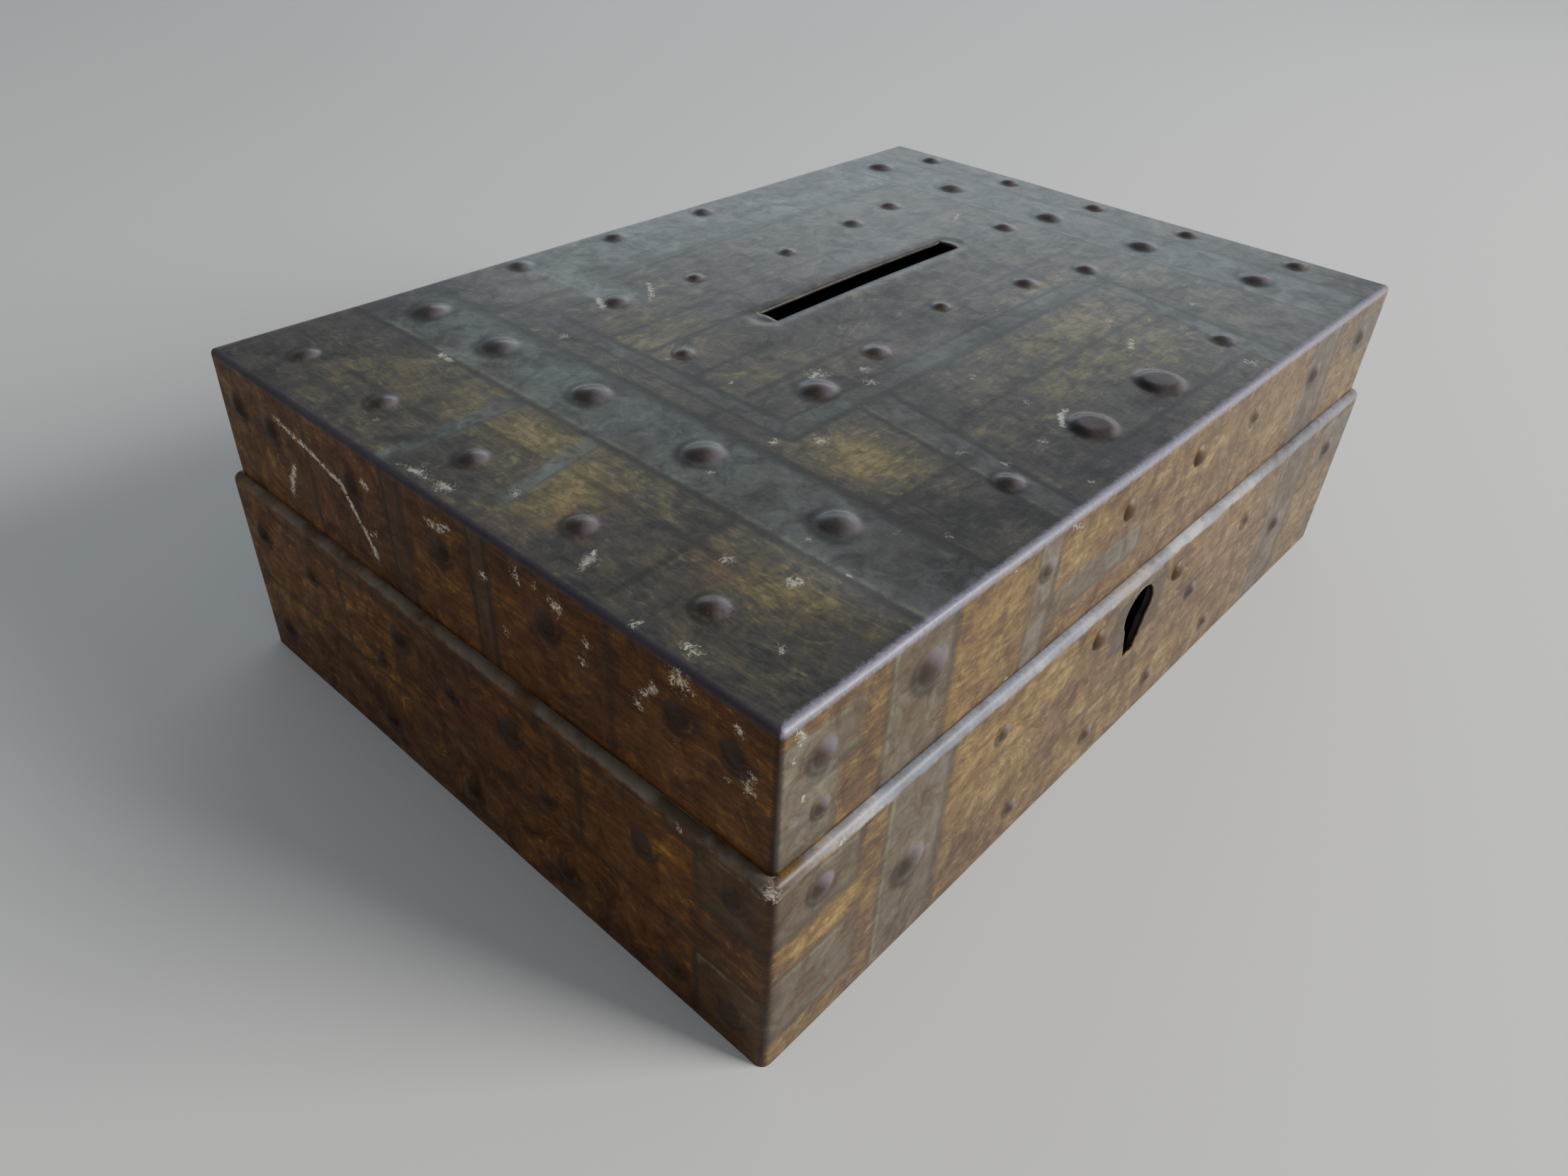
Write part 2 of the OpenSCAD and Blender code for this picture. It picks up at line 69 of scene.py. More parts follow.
base_low, base_high = node_box("base_band")
lid_low, lid_high = node_box("lid_tray")
# HW and HD are half a width and half a depth, without the studs.
BASE_HW = base_high[0] - STUD_H
BASE_HD = -base_low[1] - STUD_H
NECK_TOP = base_high[2]
LID_HW = lid_high[0] - STUD_H
LID_HD = -lid_low[1] - STUD_H
LID_Z = lid_low[2]
TOP_Z = lid_high[2] - STUD_H
SHOULDER_R = BASE_HW - LID_HW
LEDGE_Z = LID_Z - LEDGE_GAP
NECK_INSET = SHOULDER_R + SHEET + NECK_GAP
CORNER_R = 1.1          # the base's upright corners
LID_R = 0.7             # the lid's edges and corners
EDGE_TURN = math.pi / 16    # angle between grid lines round the lid's edges

# The coin slot's centre, length and width; the keyhole's round head, and its foot's depth below.
SLOT_X, SLOT_Y, SLOT_L, SLOT_W = 8.5, 7.0, 38.5, 3.2
KEY_X, KEY_Z, KEY_R, KEY_DROP = -1.5, 20.5, 3.2, 6.8

# ---- layout: studs
# On the top, u and v are x and y. On an upright face u runs to the right as one looks at it, v is z.

BIG, SMALL, TINY = 2.5, 1.8, 1.35       # radii

TOP_STUDS = (
    [(-40, v, BIG) for v in (36, 22.2, 5.8, -11.6, -29.2)]
    + [(-57, v, SMALL) for v in (35, 19.3, 3.4, -13.1, -30)]
    + [(50.5, v, BIG) for v in (37.7, 22.7, 4.1, -12.1, -29.8)]
    + [(60.5, v, SMALL) for v in (34.3, 18.1, 1.8, -14.4, -31.5)]
    + [(-22.8, 40.8, SMALL), (-6.4, 40.8, SMALL), (11, 40.8, SMALL), (-21.4, 23.1, SMALL),
       (-8.5, 22.3, TINY), (7.8, 20.6, TINY), (24.3, 22.3, SMALL), (35.3, 23.7, SMALL),
       (-25.6, 6.4, TINY), (40.7, 6, SMALL), (-21, -10.3, BIG), (-8.5, -8.6, SMALL),
       (8.4, -5.8, TINY), (24, -8.6, SMALL), (35.1, -11.5, SMALL), (-21.8, -36.1, SMALL),
       (27.3, -35.7, SMALL)]
)
FLAT_STUDS = [(-5.3, -35.9, 2.7), (10, -35.9, 2.9)]
FRONT_STUDS = [
    (-58.6, 36.8, SMALL), (-58.4, 30.6, 1.2), (-44.4, 37.1, BIG), (-26, 38.2, TINY),
    (21.8, 37.1, TINY), (40.8, 36.4, SMALL), (57, 36.8, SMALL),
    (-58.6, 21.5, SMALL), (-44.4, 12.5, BIG), (-29.9, 19.9, TINY), (14.9, 14.9, TINY),
    (28.7, 19.4, TINY), (43.3, 12.3, SMALL), (57, 19.5, SMALL),
] + [(u, 4.6, TINY) for u in (-24.3, -7.5, 8, 24.5)]
SIDE_STUDS = (
    [(u, 37, SMALL) for u in (-39.5, -32.2, -15.8, 0.2, 16.1, 32.9, 39.4)]
    + [(-39.8, 19.7, SMALL), (-28.9, 19.1, TINY), (-10.1, 20.6, SMALL), (-1, 18.5, TINY),
       (9.6, 20.2, SMALL), (29.1, 19.3, SMALL), (40.5, 21.2, TINY), (-15, 14.3, TINY),
       (14.6, 14.3, TINY)]
    + [(u, 5, SMALL) for u in (-40, -15.7, 0.5, 16.7, 32.7, 40.5)]
)
BACK_STUDS = (
    [(u, v, SMALL) for v in (37, 19.5) for u in (-57, -19, 0, 19, 57)]
    + [(u, 5, TINY) for u in (-48, -32, -16, 0, 16, 32, 48)]
)

# ---- layout: the printed faces
# studs, discs: (u, v, radius) of the round-headed and of the flat studs.
# bars: (u0, v0, u1, v1, width at the start, width at the end, tone), iron printed as a strap or a
#     plate, from dark (tone 0) to pale green-grey (1).
# seams: (u0, v0, u1, v1), thin dark lines.
# planks: (u from, u to, v from, v to, grain angle).
# rings: (u, v, radius, squash), knots that bend the grain.
# patches: (u, v, radius u, radius v, amount), paler and more golden where the amount is above 0.
# reds: (u, v, radius) of reddish blotches.
# rubs and sheen: (u, v, radius u, radius v, amount), a painted sheen on the top, a barer shoulder on the
# base.
# gold, warm, drab: how golden the wood is, how far it turns from olive to amber, and how far the
#     iron turns from green to brown. The amber of the warm sides is partly the print's tone and partly
#     painted warm light bounced onto them.
# lit: the way across the face that the painted highlight on its studs and discs points; painted shade lies
# on the other side.

TOP = {
    "studs": TOP_STUDS,
    "discs": FLAT_STUDS,
    "bars": [
        (-40.5, -46, -40.5, 46, 10.3, 10.3, 0.72), (-64, 9.6, -46, 10.2, 2.4, 2.6, 0.75),
        (-60, -4.8, -46, -2, 1.8, 2.6, 0.8), (-30.5, -16.3, -30.5, 24.4, 2.4, 2.4, 0.5),
        (-31.5, -14.2, 33, -14.2, 3, 3, 0.5), (-18.1, -15.7, -22.3, -44.5, 5, 3.8, 0.6),
        (32.6, -12.8, 27.4, -44.5, 3, 3.6, 0.6), (-16.7, 37.5, 45, 37.5, 14, 14, 0.75),
        (-19.8, 21.5, -19.8, 46, 5.9, 5.9, 0.8), (50.8, -46, 50.8, 46, 11, 11, 0.6),
        (56.3, 9.2, 64, 9.2, 2.6, 2.6, 0.4),
    ],
    "seams": [
        (-46, -46, -46, 46), (-35.2, -46, -35.2, 46), (-31.8, -16, -31.8, 24), (-29.2, -12, -29.2, 24),
        (-29, -12.6, 33, -12.6), (-31, -15.9, 33, -15.9), (-20.8, -16, -24.4, -44),
        (-15.6, -16, -20.4, -44), (30.9, -16, 25.4, -44), (34.1, -13, 29.2, -44),
        (45.2, -46, 45.2, 46), (56.4, -46, 56.4, 46), (-29, 15.5, 45, 16.5), (-35, -6.5, -31.8, -6.5),
        (-52.5, -1, -52.5, 9), (-51.6, -27, -51.6, -6), (-55.6, 11, -55.6, 28), (-62, -22.5, -46, -22),
        (34, -22, 45, -22.4), (36, 6.5, 45, 6.3),
        (-35, -30.5, -24, -30.5), (-14, -25.2, 30, -25), (-16.7, 29.5, 45, 30.5),
        (60.2, 12, 60.2, 30), (56.4, -21, 64, -21), (-15.5, -39.8, 27, -39.6), (-35, 30.5, -22.8, 30.5),
        (-29, 9.6, -12, 9.6), (-29, 1.4, -16, 1.6), (29, 6.8, 45, 6.6), (-28, -5.8, 44, -5.4),
    ],
    "planks": [
        (-64, -46, -46, 46, 90), (-35.2, -31.8, -46, 46, 90), (-29, 45, -12.6, 46, 0),
        (-35, 45, -46, -15.8, 0), (56.4, 66, -46, 46, 90), (34, 45, -46, 16, 0),
    ],
    "rings": [(-19, 4.5, 13, 0.62), (41, -38, 9, 0.6), (4, 36, 12, 0.5)],
    "patches": [
        (-50, 12, 5, 20, 0.2), (-52, -9, 6, 6, 0.32), (-58, -8, 3, 4, 0.25), (-50, 3, 4, 5, 0.3),
        (-56, 24, 5, 8, 0.16), (-50, -32, 5, 9, 0.32), (-24, 13, 8, 9, 0.2), (-22, -2.5, 7, 3, 0.22),
        (-28.5, -21, 4.5, 5.5, 0.42), (-29.5, -27, 4, 4, 0.2), (20, -22, 10, 6, 0.26),
        (6, -19.5, 16, 4, 0.16), (19, -33, 8, 5, 0.18), (0, -28, 12, 4, 0.18), (38, -33, 5, 8, 0.1),
        (24, -10.5, 9, 1.8, 0.24), (34, -6, 9, 3, 0.1), (39, 14, 4, 3, 0.12), (38, -17, 4, 5, 0.15),
        (-8, -40, 20, 4, -0.16), (-30, -37, 8, 7, -0.1), (5, 33, 50, 12, 0.1), (-12, -22, 4, 6, -0.12),
        (-58, 36, 8, 10, -0.12), (0, 14, 22, 6, -0.06), (-40, 39, 6, 9, -0.35), (-40, -38, 6, 8, -0.2),
    ],
    "reds": [(-8.5, -9, 4.5), (-3, -11.5, 3.5), (3.5, 13, 5), (-53, -26, 3), (-57, -13, 3.5),
             (-40, -30, 3.5)],
    "gold": 0.46,
    "warm": 0,
    "drab": 0.1,
    "rubs_and_sheen": [(-25, 36, 10, 9, 0.12), (12, 37, 28, 9, 0.04), (30, 22, 24, 10, 0.08),
             (-4, -12, 5, 5, 0.15), (36, -40, 18, 6, 0.1), (-46, -34, 3, 8, 0.15)],
    "lit": (0.7, -0.7),
}
FRONT = {
    "studs": FRONT_STUDS,
    "discs": [],
    "bars": [
        (-64, 33.4, -56.5, 33.4, 13.5, 13.5, 0.75), (-58.4, 37.2, -53.6, 37.2, 5.8, 5.8, 0.5),
        (-45.7, 26.1, -45.7, 43, 9.2, 9.2, 0.6), (-25.9, 26.1, -25.9, 43, 3.9, 3.9, 0.75),
        (-23.5, 32, -5.5, 32.2, 4, 4, 0.62), (-64.5, 21.3, -53.6, 21.3, 6.6, 6.6, 0.5),
        (-65, 8.2, -52.8, 8.2, 9.4, 9.4, 0.5), (-44.4, 0, -44.4, 26, 9.9, 9.9, 0.6),
        (-7.5, 20, 4.5, 20, 8.4, 8.4, 0.1), (43.4, 0, 43.4, 26, 9.6, 9.6, 0.45),
        (42.6, 26.1, 42.6, 43, 8.8, 8.8, 0.45), (53.2, 20.5, 65, 20.5, 7.2, 7.2, 0.45),
        (53.4, 37.2, 65, 37.2, 6, 6, 0.45),
    ],
    "seams": [
        (-50.4, 26.2, -50.4, 43), (-41, 26.2, -41, 43), (-27.9, 26.2, -27.9, 43),
        (-23.9, 26.2, -23.9, 43), (-49.4, 0, -49.4, 26), (-39.3, 0, -39.3, 26),
        (-53.4, 17.8, -53.4, 24.8), (-64, 17.7, -53.4, 17.7), (-52.6, 3.4, -52.6, 13),
        (-64, 13.1, -52.6, 13.1),
        (-61, 34.2, -53.4, 34.2), (-39, 9.8, 38, 9.4), (-39, 16.6, -10, 16.6), (8, 16.2, 38, 16.2),
        (-5.4, 30.1, -5.4, 42), (17.5, 26.2, 17.5, 43), (38.4, 0, 38.4, 26), (48.4, 0, 48.4, 26),
        (-17, 9.6, -17, 0), (17, 9.4, 17, 0), (-64, 30.2, -50.4, 30.2), (38.2, 26.2, 38.2, 43),
        (47.2, 26.2, 47.2, 43),
    ],
    "planks": [(-66, 66, 0, 43, 0)],
    "rings": [(-32, 12.5, 8, 0.6), (24, 36.5, 8, 0.5), (29, 5.5, 7, 0.6)],
    "patches": [
        (-33, 37, 7, 5, 0.12), (-20, 38.5, 6, 3, 0.28), (-33, 19, 7, 5, 0.26), (-20, 21, 6, 4, 0.24),
        (-26, 11, 9, 3, 0.2), (-58, 15, 5, 2, 0.26), (10, 38, 9, 4, 0.14), (24, 21, 9, 4, 0.18),
        (-12, 5, 12, 4, 0.08), (30, 33, 10, 5, 0.12), (14, 6, 9, 4, 0.12), (-38, 29, 5, 4, 0.14),
        (58, 30, 6, 3, 0.12), (54, 10, 6, 4, 0.1), (-45, 6, 5, 5, -0.1), (-34, 5, 6, 3, -0.14),
    ],
    "reds": [(-12, 30.5, 5), (11, 25, 5), (20, 18, 6), (-20, 14, 4), (30, 9, 5)],
    "gold": 0.6,
    "warm": 0.7,
    "drab": 0.85,
    "rubs_and_sheen": [(-64, 25.6, 5, 2, -0.7), (-48, 25.6, 7, 1.2, 0.4), (-33, 25.6, 6, 1.2, 0.6),
             (-22.5, 25.6, 2.5, 1, 0.5), (-16, 25.6, 3, 1, 0.6), (11, 25.6, 8, 1.2, 0.6),
             (26, 25.6, 5, 1, 0.3), (55, 25.6, 6, 1, 0.3)],
    "lit": (0.7, 0.7),
}
LEFT = {
    "studs": SIDE_STUDS,
    "discs": [],
    "bars": [
        (-7.6, 26.1, -7.6, 43, 2.8, 2.8, 0.3), (6.4, 26.1, 6.4, 43, 2.4, 2.4, 0.4),
        (36.1, 21.2, 44.6, 21.2, 7.6, 7.6, 0.35), (36.1, 5.6, 45, 5.6, 9, 9, 0.35),
        (32, 25.2, 37.4, 25.2, 2.4, 2.4, 0.3),
    ],
    "seams": [
        (-9.1, 26.2, -9.1, 43), (-6.1, 26.2, -6.1, 43), (5.1, 26.2, 5.1, 43), (7.7, 26.2, 7.7, 43),
        (36, 17.3, 36, 25), (36, 17.3, 45, 17.3), (36, 1, 36, 10.2), (36, 10.2, 45, 10.2),
        (-45, 12.2, 36, 11.6), (-36, 24, 36, 24), (-22, 12, -22, 24), (20, 12, 20, 24),
        (24.5, 26.2, 24.5, 43), (-24.5, 26.2, -24.5, 43),
    ],
    "planks": [(-46, 46, 0, 43, 0)],
    "rings": [(-8, 9, 12, 0.55), (20, 6.5, 7, 0.7), (-31, 33, 7, 0.6)],
    "patches": [
        (-20, 20, 9, 4, 0.16), (-14, 12, 8, 3, 0.2), (32.5, 21, 3, 4, 0.24), (0, 34, 5, 5, 0.1),
        (-34, 13, 8, 3, 0.12), (12, 6, 8, 3, 0.08), (26, 12, 6, 4, 0.06), (0, 19, 9, 5, -0.08),
        (-36, 34, 12, 8, 0.14), (-38, 14, 10, 12, 0.2), (20, 37, 9, 5, -0.05),
    ],
    "reds": [(-23, 31, 5), (-12, 40, 5), (4, 17, 5), (16, 36, 4), (28, 10, 5), (-33, 20, 5),
             (32, 30, 4)],
    "gold": 0.42,
    "warm": 1,
    "drab": 0.15,
    "rubs_and_sheen": [(33, 25.6, 8, 1, 0.25), (-20, 25.6, 12, 1, 0.15)],
    "lit": (-0.2, 0.9),
}
RIGHT = dict(
    LEFT,
    bars=[(-u1, v0, -u0, v1, w0, w1, tone) if v0 == v1 else (-u0, v0, -u1, v1, w0, w1, tone)
          for u0, v0, u1, v1, w0, w1, tone in LEFT["bars"]],
    seams=[(-u0, v0, -u1, v1) for u0, v0, u1, v1 in LEFT["seams"]],
    rings=[(12, 8.5, 11, 0.6), (-24, 18, 7, 0.7)],
    gold=0.46,
    warm=0.8,
)
BACK = {
    "studs": BACK_STUDS,
    "discs": [],
    "bars": [(u, 0, u, 43, 9.4, 9.4, 0.5) for u in (-43, 43)]
    + [(-65, 20.6, -53.6, 20.6, 7, 7, 0.4), (53.6, 20.6, 65, 20.6, 7, 7, 0.4),
       (-18, 32, 12, 32, 3.6, 3.6, 0.5), (-9, 0, -9, 26, 4, 4, 0.4)],
    "seams": [(u, 0, u, 43) for u in (-47.8, -38.2, 38.2, 47.8, 24)]
    + [(-38, 16.4, 38, 16.6), (-38, 9.6, 38, 9.3), (-11.1, 0, -11.1, 26), (-6.9, 0, -6.9, 26),
       (-24, 26.2, -24, 43), (-18, 30.1, 12, 30.1)],
    "planks": [(-66, 66, 0, 43, 0)],
    "rings": [(-26, 12.5, 8, 0.6), (30, 35, 7, 0.6)],
    "patches": [(-28, 20, 9, 4, 0.2), (10, 13, 12, 4, 0.2), (30, 7, 8, 4, 0.16), (-30, 36, 8, 4, 0.18),
                (30, 36, 9, 4, 0.14), (56, 11, 6, 4, 0.14), (-56, 11, 6, 4, 0.1)],
    "reds": [(-15, 14, 5), (20, 20, 6), (50, 30, 5), (-50, 30, 4)],
    "gold": 0.54,
    "warm": 0.7,
    "drab": 0.6,
    "rubs_and_sheen": [(-30, 25.6, 12, 1, 0.3), (25, 25.6, 9, 1, 0.3)],
    "lit": (0.7, 0.7),
}
FACES = {"top": TOP, "front": FRONT, "left": LEFT, "right": RIGHT, "back": BACK}

# Worn places. A fleck is (u, v, size of the cluster); a scratch is a line of points and its width.
FLECKS = {
    "top": [
        (-62, 5, 1.4), (-62, 1, 1.3), (-58, -4.6, 1.2), (-60, -17.6, 1.4), (-51.3, -26, 1.1),
        (-49.5, -32.3, 1.5), (-56.8, -37.5, 0.9), (-62, -32.5, 1.5), (-63, -27, 1), (-32.8, 19.6, 1.2),
        (-33.2, -14.8, 1.3), (-29.5, -17.8, 1.6), (-18.3, -7.6, 2.2), (-13, -10.6, 1.4),
        (-15.2, -12.9, 1.4), (-5.4, -20.2, 1), (-6, -27.8, 1), (-12, -33.8, 1), (-20.6, -29.2, 1.1),
        (-37.3, -34, 0.6), (-44, -28.8, 0.8), (-34, -37.5, 0.7), (-45.5, -35, 0.7), (21.5, -22.8, 1),
        (23.6, -41, 1.5), (35, -27.6, 1), (-42, -14.6, 0.8), (-28, 6.8, 0.7), (-27, -2.5, 0.7),
        (-59.5, 16.6, 0.7), (-19, -33.8, 0.8), (-15.5, -41.6, 0.6),
    ],
    "front": [
        (-61.5, 40.2, 0.9), (-60.9, 33.2, 0.8), (-62.4, 38.5, 0.7), (-32.5, 41.2, 0.5), (-56.4, 25.2, 0.8),
        (-30, 26.8, 0.5), (12, 41.3, 0.5), (-64.4, 25.2, 1.3),
    ],
    "left": [
        (12.4, 40, 1.3), (17.8, 39.6, 1.6), (15.2, 40.2, 0.9), (7, 37.2, 1), (9.6, 32, 0.8),
        (21.7, 37.8, 0.9), (21, 35.4, 0.9), (28, 35.2, 1.1), (30, 37.8, 1.1), (33.4, 40.8, 2),
        (39.8, 39.9, 0.9), (41, 34.5, 1.3), (38.6, 33.8, 0.7), (32.4, 33.7, 0.5), (41.5, 36, 0.7),
        (-12.8, 38.2, 1.1), (-13.4, 29.2, 1), (34, 25, 0.8), (44.4, 25.2, 1.3),
    ],
    "right": [(-38, 38, 1.3), (-30, 31, 0.9), (12, 40, 1.2), (36, 22, 0.9), (40, 38, 1.2)],
    "back": [(-60, 38, 1.2), (-22, 41, 0.9), (34, 30, 0.9), (61, 20, 1.1), (10, 8, 0.8)],
}
SCRATCHES = {
    "top": [
        ([(-46, 25), (-46.2, 23)], 0.7), ([(-18, 20.6), (-15.8, 22.8), (-14.4, 25)], 0.55),
        ([(-7.6, -33.6), (-5.9, -32.2), (-4.2, -31.8)], 0.7), ([(16, -28.9), (18.3, -27.8)], 0.6),
        ([(-62.6, 7.5), (-62.2, 4.5), (-61.8, 0)], 0.35), ([(37.5, 12.8), (40.5, 14.2)], 0.5),
        ([(-22.5, 25.5), (-23.8, 23)], 0.8), ([(-61.5, -18.3), (-58.8, -17)], 0.4),
    ],
    "front": [([(-62.4, 41.4), (-61, 40.2)], 0.3), ([(-22.6, 41.4), (-20.4, 40.2)], 0.3)],
    "left": [
        ([(-30.6, 38.8), (-25, 37.8), (-20, 36.5), (-17.6, 36)], 0.6),
        ([(-17.8, 36), (-16.2, 33.4), (-14.5, 31.2), (-13.2, 29.2)], 0.7),
        ([(-14.5, 31.2), (-12, 32.8)], 0.3), ([(-28.3, 33.5), (-29.6, 31.8), (-30.4, 29.4)], 0.8),
        ([(-1.6, 39.2), (0.4, 39.4), (2, 40.2)], 0.6), ([(28.6, 36.5), (30.4, 38.2)], 0.35),
    ],
    "right": [([(20, 38), (26, 34), (28, 30)], 0.4)],
    "back": [([(-40, 24), (-33, 20), (-31, 14)], 0.4)],
}

# ---- distances in a face's own plane

FAR = 99.0              # farther than any mark reaches


def to_segment(u, v, u0, v0, u1, v1):
    """Distance along a segment's line from its start, distance across it, and its length."""
    length = math.hypot(u1 - u0, v1 - v0)
    du, dv = (u1 - u0) / length, (v1 - v0) / length
    along = (u - u0) * du + (v - v0) * dv
    across = (u - u0) * dv - (v - v0) * du
    return along, across, length


def bar_distance(u, v, bar):
    """Distance to a tapered bar, below 0 inside it, and the side: -1 left or upper, 1 right or lower."""
    u0, v0, u1, v1, w0, w1, _tone = bar
    along, across, length = to_segment(u, v, u0, v0, u1, v1)
    half = 0.5 * (w0 + (w1 - w0) * np.clip(along / length, 0, 1))
    facing = 1 if u1 - u0 + v1 - v0 > 0 else -1
    far = np.maximum(np.abs(across) - half, np.abs(along - length / 2) - length / 2)
    return far, facing * np.clip(across / half, -1, 1)


def line_distance(u, v, points):
    """Distance to a line through several points."""
    best = np.full_like(u, FAR)
    for (u0, v0), (u1, v1) in zip(points, points[1:]):
        along, across, length = to_segment(u, v, u0, v0, u1, v1)
        past = np.maximum(np.maximum(-along, along - length), 0)
        best = np.minimum(best, np.hypot(across, past))
    return best


def bump_sum(u, v, patches):
    """Sum of soft patches of a given amount."""
    total = np.zeros_like(u)
    for pu, pv, ru, rv, amount in patches:
        total += amount * np.exp(-(((u - pu) / ru) ** 2) - ((v - pv) / rv) ** 2)
    return total


def ripple(u, v, size):
    """Smooth unevenness between about -1 and 1, with bumps of about the given size."""
    a, b = u / size, v / size
    return 0.4 * (np.sin(1.7 * a + 0.6 * b + 0.4) + np.sin(-0.8 * a + 2.1 * b + 1.9)
                  + 0.7 * np.sin(2.9 * a + 2.3 * b + 4.0) * np.cos(1.3 * a - 2.6 * b))


# ---- relief pressed into the sheet


def relief(face, u, v):
    """How far the sheet stands out of its flat face, in mm: studs, crown and unevenness."""
    layout = FACES[face]
    height = np.zeros_like(u)
    for su, sv, radius in layout["studs"]:
        near = np.clip(np.hypot(u - su, v - sv) / radius, 0, 1) ** 2
        height += (0.24 + 0.13 * radius) * (1 - near) ** 2 * (1 + 0.9 * near)
    for su, sv, radius in layout["discs"]:
        reach = np.clip((radius + 0.3 - np.hypot(u - su, v - sv)) / 1.2, 0, 1)
        height += 0.5 * reach * reach * (3 - 2 * reach)
    height += 0.06 * ripple(u, v, 17) + 0.02 * ripple(u + 40, v, 6)
    if face == "top":
        crown = (1 - (u / LID_HW) ** 2) * (1 - (v / LID_HD) ** 2)
        height += 0.3 * np.clip(crown, 0, 1)
        by_slot = ((u - SLOT_X) / 24) ** 2 + ((v - SLOT_Y) / 7) ** 2
        height += 0.3 * np.exp(-by_slot)
        lip = line_distance(u, v, [(SLOT_X - SLOT_L / 2, SLOT_Y), (SLOT_X + SLOT_L / 2, SLOT_Y)])
        height -= 0.14 * np.exp(-(((lip - SLOT_W / 2) / 0.9) ** 2))
    return height


OUT = {"top": (0, 0, 1), "front": (0, -1, 0), "back": (0, 1, 0), "left": (-1, 0, 0), "right": (1, 0, 0)}
FACE_NAMES = list(OUT)


def face_uv(points):
    """The face each point belongs to, as its number in FACE_NAMES, and its place on it."""
    x, y, z = points.T
    over = np.stack([z - (TOP_Z - LID_R), -y - (LID_HD - LID_R), y - (LID_HD - LID_R),
                     -x - (LID_HW - LID_R), x - (LID_HW - LID_R)])
    over[0, z < TOP_Z - LID_R - 0.01] = -FAR
    which = np.argmax(over, axis=0)
    u = np.choose(which, [x, x, -x, -y, y])
    v = np.choose(which, [y, z, z, z, z])
    return which, u, v


def press(points):
    """The points moved out of their faces by the relief."""
    which, u, v = face_uv(points)
    moved = points.copy()
    for number, face in enumerate(FACE_NAMES):
        on = which == number
        moved[on] += relief(face, u[on], v[on])[:, None] * np.array(OUT[face])
    return moved


# ---- meshes


def even_steps(start, end, step):
    """Evenly spaced values from start up to end, which is left out, in an even number of steps."""
    count = 2 * max(1, round((end - start) / step / 2))
    return list(np.linspace(start, end, count, endpoint=False))


def join_loops(fine, coarse):
    """Triangles between two closed loops, the first with twice as many points as the second."""
    made = []
    n = len(coarse)
    for i in range(n):
        a, b, c = fine[2 * i], fine[2 * i + 1], fine[(2 * i + 2) % (2 * n)]
        p, q = coarse[i], coarse[(i + 1) % n]
        made += [(a, b, p), (b, q, p), (b, c, q)]
    return made


def add_object(name, data):
    made = bpy.data.objects.new(name, data)
    bpy.context.scene.collection.objects.link(made)
    return made


def make_object(name, points, faces, bare, body):
    """A mesh object in the CAD's frame: printed, but plain tin on the faces with a 1 in bare."""
    mesh = bpy.data.meshes.new(name)
    mesh.from_pydata((np.asarray(points) * MM).tolist(), [], faces)
    mesh.materials.append(PRINT)
    mesh.materials.append(TIN)
    mesh.polygons.foreach_set("material_index", np.asarray(bare, np.int32))
    work = bmesh.new()
    work.from_mesh(mesh)
    bmesh.ops.recalc_face_normals(work, faces=work.faces)
    for face in work.faces:
        face.smooth = True
    work.to_mesh(mesh)
    work.free()
    made = add_object(name, mesh)
    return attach(made, body)


def lid_grid(half, cuts):
    """Grid lines across the lid: close together where the edge is rounded, and one on each cut."""
    band = [LID_R * math.tan(EDGE_TURN * i) for i in range(1, 5)]
    flat = half - LID_R
    stops = [-flat, *cuts, flat]
    lines = [-flat - b for b in reversed(band)]
    for start, end in zip(stops, stops[1:]):
        lines += even_steps(start, end, GRID)
    return np.array(lines + [flat] + [flat + b for b in band])


def lid_surface(points, depth):
    """Points on a sharp box turned into the sheet's surface, depth mm inside its outer face."""
    inner = np.array([LID_HW - LID_R, LID_HD - LID_R, TOP_Z - LID_R])
    core = np.clip(points, -inner, inner)
    away = points - core
    away /= np.linalg.norm(away, axis=1)[:, None]
    return press(points) - points + core + (LID_R - depth) * away


